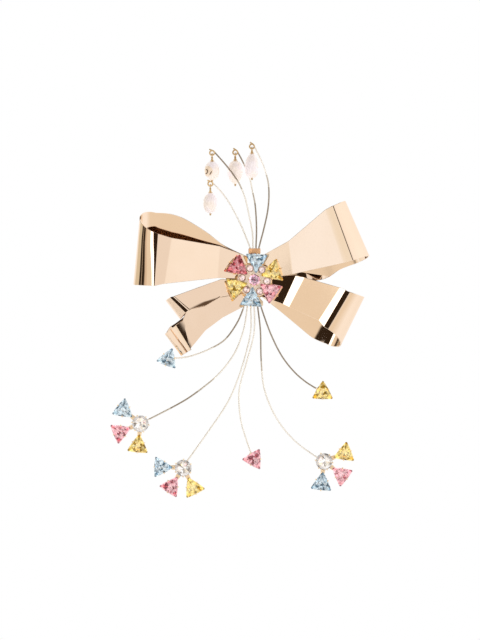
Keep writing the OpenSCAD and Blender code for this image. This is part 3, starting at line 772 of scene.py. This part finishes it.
# %% Places of the stones
PETAL_RING, PETAL_DEPTH, PETAL_GROWTH = 9.4, 15.1, 1.06
CENTRE_DEPTH, ACCENT_DEPTH, ACCENT_RING = 16.3, 16.5, 6.1
PETALS = [(84, 3, 0), (24.5, -6, 0.4), (-35.5, 0, 0.1), (-99, 4, 0.2), (-159, -2, 0.5), (141.5, -1, 1.1)]
PETAL_COLOURS = ["pale_blue", "yellow", "pink", "pale_blue", "yellow", "red_pink"]
SPRAY_REACH = 10.9
SPRAYS = [(-55.9, -70.4, 12.5, 141, 61.5), (-34.9, -92.1, 13.5, 177.5, 59.5), (34.1, -88.9, 12.5, 21.5, -59)]
SPRAY_COLOURS = [("pale_blue", "pink", "yellow"), ("pale_blue", "pink", "yellow"), ("yellow", "pink", "pale_blue")]
SINGLES = [(-42.4, -38.8, 10.0, 188.5), (-0.3, -87.8, 12.5, -59), (33.4, -55.1, 12.5, -31.5)]
SINGLE_COLOURS = ["pale_blue", "pink", "yellow"]
GROWN = Matrix.Diagonal((PETAL_GROWTH, PETAL_GROWTH, 1, 1))


def polar(radius, angle):
    return radius * cos(angle), radius * sin(angle)


def facing(x, z, depth, angle=0.0):
    """Place for a shape that looks along +Z on the bench: its middle at (x, z), its level at a depth in front of
    the pin, turned by an angle from +X towards +Z."""
    a = radians(angle)
    return Matrix(((cos(a), -sin(a), 0, x), (0, 0, -1, -depth),
                   (sin(a), cos(a), 0, z), (0, 0, 0, 1)))


def petal_place(petal):
    angle, turn, extra = petal
    return facing(*polar(PETAL_RING + extra, radians(angle)), PETAL_DEPTH, angle + turn + 180)


def accent_place(petal):
    return facing(*polar(ACCENT_RING, radians(petal[0] - 30)), ACCENT_DEPTH)


def spray_place(spray, k):
    x, z, depth, first, step = spray
    outwards = Matrix.Translation((SPRAY_REACH, 0, 0)) @ Matrix.Rotation(pi, 4, "Z")
    return facing(x, z, depth, first + k * step) @ outwards


def copy_of(master, place):
    """Copy of a master with its own mesh, moved to its place."""
    hold(master)
    bpy.ops.object.duplicate()
    return move_on_bench(bpy.context.object, place)


def set_stone(master, place, name, colour, node, slot=None):
    """Lays a copy of a stone in its place, with a clear table, a tinted crown and foil behind the girdle."""
    stone = copy_of(master, place)
    turned_back = place.to_3x3().inverted()
    lay_in_place(dress(stone, *GLASS[colour]), name, (slot or colour) + "_stone", node)
    for face in stone.data.polygons:
        out = turned_back @ face.normal
        corner = abs(degrees(atan2(out.y, out.x)) % 120 - 60) > 40
        face.material_index = 1 if out.z > 0.99 else 0 if out.z > 0.1 else 3 if corner else 2


# %% Set the stones
for k, (petal, colour) in enumerate(zip(PETALS, PETAL_COLOURS), 1):
    set_stone(triangle, petal_place(petal) @ GROWN, f"petal_{k}_cut", colour, f"petal_stone_{k}")
    set_stone(accent_stone, accent_place(petal), f"accent_{k}_cut", "blush", f"accent_stone_{k}", "clear")
set_stone(centre_stone, facing(0, 0, CENTRE_DEPTH, 9), "centre_cut", "violet", "centre_stone")
for k, (single, colour) in enumerate(zip(SINGLES, SINGLE_COLOURS), 1):
    set_stone(triangle, facing(*single), f"single_{k}_cut", colour, f"single_stone_{k}")
for s, (spray, colours) in enumerate(zip(SPRAYS, SPRAY_COLOURS), 1):
    set_stone(round_stone, facing(*spray[:3], spray[3]), f"spray_{s}_round_cut", "clear", f"spray_{s}_stone_0")
    for k, colour in enumerate(colours):
        set_stone(triangle, spray_place(spray, k), f"spray_{s}_cut_{k + 1}", colour, f"spray_{s}_stone_{k + 1}")
print("stones set")

# %% [markdown]
# ## Claw settings
# A stone sits in a collet, a low wall round its pavilion, and claws grip over its girdle. The collet's wall is
# the stone's own outline, drawn in towards the back. A claw is a short round wire, filed to a dome. One claw is
# made, and copied round each collet.

# %% Claw
CLAW_FOOT = -2.98
ARM_LEVEL, ARM_THICK = -3.62, 0.6
# Rings of a claw: how far outside the stone's edge, level, radius, tilt.
CLAW_RINGS = [(-0.05, CLAW_FOOT, 0.36, 0), (0.16, -1.3, 0.38, 0), (0.2, 0.15, 0.38, 0), (0.1, 0.72, 0.36, 30),
              (-0.16, 1.06, 0.31, 62), (-0.44, 1.12, 0.16, 80)]


def make_claw(reach):
    """Round wire that stands beside the stone and bends over its edge, by a circle extruded and turned."""
    rings = [(reach + out, *rest) for out, *rest in CLAW_RINGS]
    x, z, size, tilt = rings[0]
    claw = start(bpy.ops.mesh.primitive_circle_add, vertices=10, radius=size, fill_type="NGON", location=(x, 0, z))
    for next_x, next_z, next_size, next_tilt in rings[1:]:
        about = {"center_override": (next_x, 0, next_z)}
        extrude((next_x - x, 0, next_z - z))
        bpy.ops.transform.resize(value=(next_size / size,) * 3, **about)
        if next_tilt != tilt:
            bpy.ops.transform.rotate(value=radians(next_tilt - tilt), orient_axis="Y", **about)
        x, z, size, tilt = next_x, next_z, next_size, next_tilt
    shape_with(settle(claw), "SUBSURF", levels=1, render_levels=1)
    return smooth(claw, 60)


def ring_of(master, angles):
    """Copies of a claw at these angles round the stone, joined."""
    return join(*(copy_of(master, Matrix.Rotation(radians(a), 4, "Z")) for a in angles))


# %% Collets
COLLET_TOP, COLLET_FOOT, COLLET_DRAWN, COLLET_WALL = -0.55, -3.0, 0.82, 0.4


def outline_of(corners, level, fill):
    """Opens a circle with one vertex for each corner, and moves each vertex to its corner."""
    shape = start(bpy.ops.mesh.primitive_circle_add, vertices=len(corners), radius=1, fill_type=fill)
    for k, (x, y) in enumerate(corners):
        shift(shape, [k], Vector((x, y, level)) - shape.data.vertices[k].co)
    take_all()
    return shape


def collet(outline, claws):
    """Wall round the pavilion, with its claws: the outline is extruded down and drawn in, then gets a thickness."""
    last_level, last_size = COLLET_TOP, 1
    shell = outline_of(outline, COLLET_TOP, "NOTHING")
    for share in (0.35, 0.8, 1.0):
        level = COLLET_TOP + (COLLET_FOOT - COLLET_TOP) * share
        size = 1 + (COLLET_DRAWN - 1) * share
        extrude((0, 0, level - last_level))
        bpy.ops.transform.resize(value=(size / last_size, size / last_size, 1), center_override=(0, 0, level))
        last_level, last_size = level, size
    shape_with(shell, "SOLIDIFY", thickness=COLLET_WALL, offset=-1)
    open_up(shell)
    turn_out()
    return join(smooth(break_edges(shell, 0.08, over=50)), claws)


def triangle_outline(size, points=36):
    """Outline of the triangular stone at a size."""
    angles = [tau * k / points for k in range(points)]
    return [polar(size * min(CORNER, SIDE / cos(pi / 3 - a % (tau / 3))), a) for a in angles]


def round_outline(radius, points=32):
    return [polar(radius, tau * k / points) for k in range(points)]


side_claw, round_claw, centre_claw = make_claw(SIDE), make_claw(ROUND), make_claw(CENTRE)
triangle_setting = collet(triangle_outline(0.93), ring_of(side_claw, (60, 180, 300)))
round_setting = collet(round_outline(ROUND - 0.3), ring_of(round_claw, every(60)))
print("settings:", len(triangle_setting.data.polygons), len(round_setting.data.polygons), "faces")

# %% [markdown]
# ## Wires
# A wire is a bent rod of even thickness, so it is a curve through the same points as in the CAD source, with a
# round bevel, turned into a mesh. A smooth curve through all points keeps the bends even.

# %% Smooth routes
WIRE, FADE = 0.38, 5


def smooth_route(points):
    """Route of a wire, on a smooth curve; its first stretch, in the collar, stays straight."""
    return curve_through([Vector(p) for p in points], 6, 1)


def bend_wire(route, radius=WIRE, corners=3):
    """Round wire along a route of (x, z, depth), as a mesh."""
    put_down()
    bpy.ops.curve.primitive_nurbs_path_add()
    wire = bpy.context.object
    wire.data.splines.clear()
    spline = wire.data.splines.new("POLY")
    spline.points.add(len(route) - 1)
    for point, (x, z, depth) in zip(spline.points, route):
        point.co = (x, -depth, z, 1)
    wire.data.dimensions = "3D"
    wire.data.bevel_depth = radius
    wire.data.bevel_resolution = corners
    wire.data.use_fill_caps = True
    bpy.ops.object.convert(target="MESH")
    return smooth(bpy.context.object, 60)


def shade_stretch(wire, stretches):
    """Wire with its own gold, and a darker one between these heights, which is painted shade and fades out beyond
    them.
    """
    dress(wire, wire_gold_with_painted_light, shaded_wire, fading_shade_wire)
    for face in wire.data.polygons:
        off = min([max(low - face.center.z, face.center.z - high) for low, high in stretches] + [FADE])
        face.material_index = 1 if off < 0 else 2 if off < FADE else 0
    return wire


# %% Hanging wires
# Heights in mm of the stretches of painted shade on the hanging and the rising wires.
DROP_SHADED = {1: [(-28, -14)], 2: [(-63, -54)], 5: [(-40, -14)], 6: [(-53, -14)]}
RISE_SHADED = {1: [(49, 63)], 2: [(57, 63), (16, 38)], 3: [(16, 46)]}
COLLAR_X = (-5.3, -3.5, -1.8, -0.1, 1.6, 3.3)
COLLAR_FOOT, COLLAR_MOUTH, COLLAR_DEPTH = -11.2, -13.4, 11.4
DROP_ROUTES = [
    [(-8.7, -21.3, 10), (-14.7, -29.4, 8), (-22.8, -34.2, 6.0),
     (-30.9, -37.2, 4.9), (-35.5, -38.1, 5.2), (-40.6, -38.4, 6.65)],
    [(-5.4, -24.8, 11.6), (-10.1, -36.4, 11.4), (-18.2, -46.7, 10.8),
     (-29.7, -56.0, 10), (-39, -61.7, 9.4), (-53.2, -69.0, 9.15)],
    [(-1.8, -24.8, 12), (-4.3, -36.4, 12.2), (-8.3, -49, 12),
     (-13.5, -60.6, 11.4), (-22.8, -74.5, 10.6), (-33.6, -89.6, 10.15)],
    [(-0.2, -26, 11.2), (-3.7, -39.7, 10.6), (-7.0, -51.4, 10),
     (-7.6, -59.5, 9.6), (-6.2, -71, 9.3), (-1.2, -86.3, 9.15)],
    [(2.9, -24.8, 11.6), (3.3, -39.7, 11.6), (4.9, -53.7, 11.2),
     (10.7, -67.6, 10.4), (20, -79.1, 9.6), (31.9, -87.8, 9.15)],
    [(7.8, -26, 11.4), (13, -36.6, 11), (18.9, -44.4, 10.4),
     (25.2, -50.0, 9.6), (31.8, -54.0, 9.15)]]


# %% Plates and arms under the stones
def plate(radius, low, high, sides=48, broken=0.2, segments=3):
    """Round plate with a broken edge, from one level to another."""
    made = start(bpy.ops.mesh.primitive_cylinder_add, vertices=sides, radius=radius, depth=high - low,
                 location=(0, 0, (low + high) / 2))
    return smooth(break_edges(settle(made), broken, segments))


def flat_bar(x0, x1, wide, waist):
    """Flat arm under the stones, a little narrower in the middle."""
    bar = start(bpy.ops.mesh.primitive_cube_add, size=1, location=((x0 + x1) / 2, 0, ARM_LEVEL + ARM_THICK / 2),
                scale=(x1 - x0, wide, ARM_THICK))
    pick(bar, "edges", lambda e: abs(e.verts[0].co.x - e.verts[1].co.x) > 0.5)
    bpy.ops.mesh.subdivide(number_cuts=3)
    pick(bar, "verts", lambda v: abs(v.co.x) < 0.1)
    bpy.ops.transform.resize(value=(1, waist / wide, 1))
    return smooth(break_edges(settle(bar), 0.12, over=50))


def single_setting(single):
    place = facing(*single)
    return [copy_of(triangle_setting, place), move_on_bench(flat_bar(-3.4, 2.0, 1.8, 1.5), place)]


def spray_setting(x, z, depth, first, step):
    parts = [copy_of(round_setting, facing(x, z, depth, first + 30)),
             move_on_bench(plate(3.6, -3.7, CLAW_FOOT, 32, 0.15, 2), facing(x, z, depth))]
    for k in range(3):
        parts.append(copy_of(triangle_setting, spray_place((x, z, depth, first, step), k)))
        parts.append(move_on_bench(flat_bar(0.5, SPRAY_REACH + 1, 2.4, 1.9), facing(x, z, depth, first + k * step)))
    return parts


# %% Wires with their settings
ENDS = {1: single_setting(SINGLES[0]), 4: single_setting(SINGLES[1]), 6: single_setting(SINGLES[2]),
        2: spray_setting(*SPRAYS[0]), 3: spray_setting(*SPRAYS[1]), 5: spray_setting(*SPRAYS[2])}
for k, (x, points) in enumerate(zip(COLLAR_X, DROP_ROUTES), 1):
    route = smooth_route([(x, COLLAR_FOOT, COLLAR_DEPTH), (x, COLLAR_MOUTH, COLLAR_DEPTH), *points])
    wire = shade_stretch(bend_wire(route), DROP_SHADED.get(k, []))
    stem = join(wire, *(dress(part, spray_gold) for part in ENDS[k]))
    lay_in_place(stem, f"drop_{k}_wire_and_settings", "setting_gold", f"drop_stem_{k}")
print("hanging wires:", len(DROP_ROUTES))

# %% [markdown]
# ## Rising wires and pearls
# Each rising wire ends in an eye, wound a little over once with its tip sticking out. In the eye hangs a ring with
# a wound neck, a bell cap and a pin that goes through a drop pearl.

# %% Rising wires
EYE, EYE_RISE, EYE_STEPS, EYE_TIP = 1.15, 0.92, 24, 1.9
COLLAR_WIRES = [(-2.175, 13.6, 11.0), (-0.725, 13.6, 12.1), (0.725, 13.6, 11.0), (2.175, 13.6, 12.1)]
RISING = [
    [(-4.5, 21.9, 10.8), (-7.1, 28, 10.4), (-9.8, 33.3, 10.2), (-12.8, 38.5, 10), (-16.3, 43.3, 9.8),
     (-20.8, 48.0, 9.54)],
    [(-1.0, 23.2, 12.4), (-2.7, 32, 12.8), (-4.5, 39.8, 13), (-7.1, 46.4, 13.1), (-9.8, 50.8, 13.1),
     (-14.1, 56.4, 13), (-19.9, 63.0, 12.54)],
    [(1.0, 25.5, 10.4), (0.4, 36.3, 9.4), (-1.0, 43.8, 8.4), (-2.3, 49.9, 8), (-5.3, 57.2, 7.8),
     (-8.4, 63.2, 7.54)],
    [(4.7, 25.5, 12.2), (6.5, 34.1, 12.3), (7.1, 42.0, 12.4), (6.5, 49.0, 12.4), (4.0, 57.0, 12.3),
     (-0.2, 65.9, 11.94)]]


def full_route(k):
    foot = Vector(COLLAR_WIRES[k])
    return [foot, foot + Vector((0, 2.2, 0)), *[Vector(p) for p in RISING[k]]]


# %% Eyes
def eye_of(route):
    """Middle of the eye at a wire's end, and the angle at which the wire comes in."""
    end, step = route[-1], route[-1] - route[-2]
    a = atan2(step.y, step.x) - pi / 2
    x, z = polar(EYE, a)
    return Vector((end.x - x, end.y - z, end.z + EYE_RISE * (270 - degrees(a)) / 360)), a


def eye_turn(route):
    """A full turn and a twelfth that steps forward, then a short straight tip."""
    centre, a = eye_of(route)
    turn = []
    for k in range(1, EYE_STEPS + 3):
        x, z = polar(EYE, a + tau * k / EYE_STEPS)
        turn.append(Vector((centre.x + x, centre.y + z, route[-1].z + EYE_RISE * k / EYE_STEPS)))
    x, z = polar(EYE_TIP, a + tau * (EYE_STEPS + 2) / EYE_STEPS)
    return turn + [turn[-1] + Vector((-z, x, 0.06))]


for k in range(4):
    route = full_route(k)
    eye = dress(bend_wire(route[-1:] + eye_turn(route)), antique_gold)
    wire = join(shade_stretch(bend_wire(smooth_route(route)), RISE_SHADED.get(k, [])), eye)
    lay_in_place(wire, f"pearl_wire_{k + 1}", "setting_gold", f"pearl_stem_{k + 1}")
print("rising wires:", len(RISING))

# %% Turned pieces and rings
RING, PIN = 0.88, 0.3
COIL, COIL_TURNS, COIL_STEPS = 0.36, 2.5, 30
# Half width, half height, how far the middle hangs below the wire's eye, and at what height it is widest.
PEARLS = [(3.6, 5.1, 9.5, 0.48), (3.85, 4.6, 8.8, 0.5), (3.95, 5.8, 9.8, 0.55), (3.5, 6.0, 9.5, 0.4)]


def spun(profile, base=0, steps=20):
    """Turned piece from a half profile of (radius, height above the base), extruded point by point and spun."""
    piece = start(bpy.ops.mesh.primitive_plane_add, size=1)
    pick(piece, "verts", lambda v: v.index > 0)
    bpy.ops.mesh.delete(type="VERT")
    points = [Vector((r, 0, base + z)) for r, z in profile]
    shift(piece, [0], points[0] - piece.data.vertices[0].co)
    for before, after in zip(points, points[1:]):
        bpy.ops.mesh.extrude_vertices_move(TRANSFORM_OT_translate={"value": after - before})
    take_all()
    bpy.ops.mesh.spin(steps=steps, angle=tau, center=(0, 0, 0), axis=(0, 0, 1))
    take_all()
    bpy.ops.mesh.remove_doubles(threshold=1e-3)
    turn_out()
    return smooth(piece)


# %% Hangers
def make_hanger(pearl):
    half_height, drop = pearl[1:3]
    ring_z, top, foot = drop - EYE, half_height + 0.1, -half_height
    ring = smooth(settle(start(
        bpy.ops.mesh.primitive_torus_add, major_radius=RING, minor_radius=PIN * 0.95, major_segments=24,
        minor_segments=8, location=(0, 0, ring_z), rotation=(0, pi / 2, 0))), 60)
    cap = spun([(0, 0.95), (0.36, 0.9), (0.5, 0.75), (0.62, 0.5), (0.95, 0.24), (1.22, 0), (1.1, -0.06),
                (0.8, 0.14), (0.4, 0.3), (0, 0.34)], top)
    neck_low, neck_high = top + 0.9, ring_z - RING
    coil = []
    for k in range(COIL_STEPS + 1):
        x, depth = polar(COIL, -tau * COIL_TURNS * k / COIL_STEPS)
        coil.append((x, neck_low + (neck_high - neck_low) * k / COIL_STEPS, depth))
    neck, core = bend_wire(coil, 0.2, 2), bend_wire([(0, foot - 0.35, 0), (0, neck_high, 0)], PIN, 2)
    tip = spun([(0, -1), (0.3, -0.92), (0.48, -0.62), (0.4, -0.3), (0.62, -0.02), (0.3, 0.1), (0, 0.12)], foot, 14)
    return join(ring, cap, neck, core, tip)


def under_eye(k):
    centre = eye_of(full_route(k))[0]
    return Matrix.Translation((centre.x, -centre.z, centre.y - PEARLS[k][2]))


for k, pearl in enumerate(PEARLS):
    hanger = dress(move_on_bench(make_hanger(pearl), under_eye(k)), antique_gold)
    lay_in_place(hanger, f"pearl_hanger_{k + 1}_wound", "setting_gold", f"pearl_hanger_{k + 1}")
print("hangers:", len(PEARLS))

# %% [markdown]
# ## Drop pearls
# Freshwater pearls are never quite round. Each starts as a sphere, whose rings are drawn in or out to the pearl's
# profile, and is then pushed a little out of true and smoothed. Light goes some way into nacre, for which a faint
# glow stands. The upper left pearl has a peach blister with two dark lines.


# %% Pearl finish
def nacre_finish(name, stained=None):
    """Nacre with a rosy cloud. A pearl whose middle is given as stained has a blister on its left."""
    mix = Recipe(bpy.data.materials.new(name))
    place = mix.place()
    lustre = mix.between(mix.noise(place, 260, 2), 0.35, 0.65)
    rosy = mix.between(mix.noise(place, 150, 1), 0.4, 0.62)
    skin = mix.blend((0.99, 0.91, 0.95), (1.0, 0.89, 0.82), rosy)
    if stained:
        skin = stain(mix, place, skin, stained)
    ripple = mix.value("Bump", (), {"Strength": 1, "Distance": 20 * MICRON, "Height": mix.noise(place, 500, 2)})
    return mix.finish({
        "Base Color": skin, "Roughness": 0.22 + lustre * 0.14, "Coat Weight": 0.6, "Coat Roughness": 0.08,
        "Coat IOR": 1.6, "Normal": ripple, "Emission Color": skin, "Emission Strength": 0.22})


def stain(mix, place, skin, home):
    """Peach blister with two dark curved lines, on the front of a pearl whose middle is home, in mm."""
    flat = mix.value("VectorMath", {"operation": "MULTIPLY"}, {0: place, 1: (1, 0, 1)})
    depth = mix.value("SeparateXYZ", (), {0: place}, "Y")

    def away(x, z):
        point = ((home.x + x) * MM, 0, (home.z + z) * MM)
        return mix.value("VectorMath", {"operation": "DISTANCE"}, {0: flat, 1: point}, "Value")

    def stroke(x, z, radius):
        off = away(x, z) - radius * MM
        return mix.between(off.math("ABSOLUTE", off), 0.2 * MM, 0.38 * MM, 1.0, 0.0)

    front = mix.between(depth, (home.y - 0.5) * MM, (home.y + 0.5) * MM, 1.0, 0.0)
    blister = mix.between(away(-2.1, -0.2), 2.2 * MM, 2.7 * MM, 1.0, 0.0) * front
    lines = depth.math("MAXIMUM", stroke(-3.3, -0.4, 1.1), stroke(1.67, -2.45, 2.7))
    lines = lines * mix.between(away(-1.8, -0.5), 1.5 * MM, 1.9 * MM, 1.0, 0.0) * front
    return mix.blend(mix.blend(skin, (0.95, 0.77, 0.6), blister), (0.16, 0.09, 0.05), lines)


pearl_finish = nacre_finish("pearl_nacre")
STAINED = 1
stained_finish = nacre_finish("pearl_nacre_with_blister", under_eye(STAINED).translation)
print("pearl finishes:", pearl_finish.name, stained_finish.name)


# %% Pearls
def pearl_radius(pearl, share):
    half_width, widest = pearl[0], pearl[3]
    bent = abs(2 * share ** (log(0.5) / log(widest)) - 1)
    return half_width * sqrt(max(1 - bent ** 2.2, 0))


def make_pearl(pearl, seed):
    half_width, half_height = pearl[:2]
    ball = start(bpy.ops.mesh.primitive_uv_sphere_add, segments=32, ring_count=20, radius=half_height)
    levels = sorted({round(v.co.z, 3) for v in bmesh.from_edit_mesh(ball.data).verts})
    for level in levels[1:-1]:
        pick(ball, "verts", lambda v: abs(v.co.z - level) < 1e-2)
        here = sqrt(half_height ** 2 - level ** 2)
        wanted = pearl_radius(pearl, (level / half_height + 1) / 2) / here
        bpy.ops.transform.resize(value=(wanted, wanted, 1), center_override=(0, 0, level))
    take_all()
    bpy.ops.transform.vertex_random(offset=0.12, uniform=0.0, normal=1.0, seed=seed)
    bpy.ops.mesh.vertices_smooth(factor=0.5, repeat=8)
    points = [v.co.copy() for v in bmesh.from_edit_mesh(ball.data).verts]
    wide = half_width / max(p.xy.length for p in points)
    high = 2 * half_height / (max(p.z for p in points) - min(p.z for p in points))
    bpy.ops.transform.resize(value=(wide, wide, high), center_override=(0, 0, 0))
    shape_with(ball, "SUBSURF", levels=1, render_levels=1)
    return smooth(ball, 80)


for k, pearl in enumerate(PEARLS):
    ball = move_on_bench(make_pearl(pearl, k + 3), under_eye(k))
    dress(ball, stained_finish if k == STAINED else pearl_finish)
    lay_in_place(ball, f"pearl_{k + 1}_drop", "pearl", f"pearl_{k + 1}")
print("pearls:", len(PEARLS))

# %% [markdown]
# ## Flower setting
# Two round plates hold the ribbons between them. The front one carries the petals' settings, the cups of the
# centre stone and of the small stones, and the collars that the wires stand in. A plate is a cylinder with a broken
# edge, a collar is an outline extruded to a block, and a cup is a profile, extruded point by point and spun.


# %% Flower setting
def block(corners, low, high):
    """Block with an outline of (x, z) corners, from one depth to another, with soft edges."""
    slab = outline_of(corners, low, "NGON")
    extrude((0, 0, high - low))
    turn_out()
    return smooth(break_edges(slab, 0.35, 3))


back_plate, post = plate(9, 5.7, 6.6), plate(2.5, 5.7, 11.7)
lower_collar = block([(-6.2, -12.7), (4.2, -12.7), (4.2, -10.6), (1, -7), (-3, -7), (-6.2, -10.6)], 10.5, 12.2)
collar_arm = block([(-2.2, 6), (2.2, 6), (2.9, 13.5), (-2.9, 13.5)], 11.3, 12.1)
front_plate, centre_post = plate(8.2, 11.3, 12.1), plate(2.2, 11.3, 13.5)
settings = [copy_of(triangle_setting, petal_place(petal) @ GROWN) for petal in PETALS]
settings.append(move_on_bench(collet(round_outline(CENTRE - 0.25), ring_of(centre_claw, every(60, 54))),
                              facing(0, 0, CENTRE_DEPTH)))
upper_collar = block([(-2.95, 12.9), (2.95, 12.9), (2.95, 15.5), (-2.95, 15.5)], 10.2, 12.8)
accent_cup = spun([(0, -4.5), (0.8, -4.5), (0.95, -1.4), (1.3, -0.8), (1.78, -0.2), (1.82, 0.15), (1.66, 0.16),
                   (1.6, -0.14), (1.1, -0.6), (0.25, -1.2), (0, -1.2)])
settings += [copy_of(accent_cup, accent_place(petal)) for petal in PETALS]
soldered = {back_plate: brushed_gold, post: brushed_gold, lower_collar: brushed_gold, collar_arm: brushed_gold,
            front_plate: lit_gold, centre_post: lit_gold, upper_collar: copper_gold}
flower = join(*(dress(move_on_bench(part, facing(0, 0, 0)), gold) for part, gold in soldered.items()),
              *(dress(part, setting_gold) for part in settings))
lay_in_place(flower, "flower_plates_and_settings", "setting_gold", "flower_setting")
print("flower setting:", len(flower.data.polygons), "faces")

# %% [markdown]
# ## Pin
# The pin behind the knot is not seen. It keeps its CAD shape, with the settings' gold.

# %% Pin, and the masters go
dress(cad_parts["pin_back"], setting_gold)
hold(triangle, round_stone, centre_stone, accent_stone, side_claw, round_claw, centre_claw, triangle_setting,
     round_setting, accent_cup)
bpy.ops.object.delete()
print("pin dressed, masters gone")

# %% Floor
put_down()
bpy.ops.mesh.primitive_circle_add(vertices=64, radius=0.6, fill_type="NGON", location=(0, 0, -0.36))
floor = bpy.context.object
floor.name = "floor"
paper = Recipe(bpy.data.materials.new("floor_paper"))
fibre = paper.noise(paper.place(), 40, 4)
dress(floor, paper.finish({
    "Base Color": paper.blend((0.96, 0.955, 0.945), (0.98, 0.975, 0.97), fibre), "Roughness": 0.7,
    "Emission Color": (1, 0.98, 0.95, 1), "Emission Strength": 0.15}))
print("floor", round(floor.dimensions.x, 2), "m across")
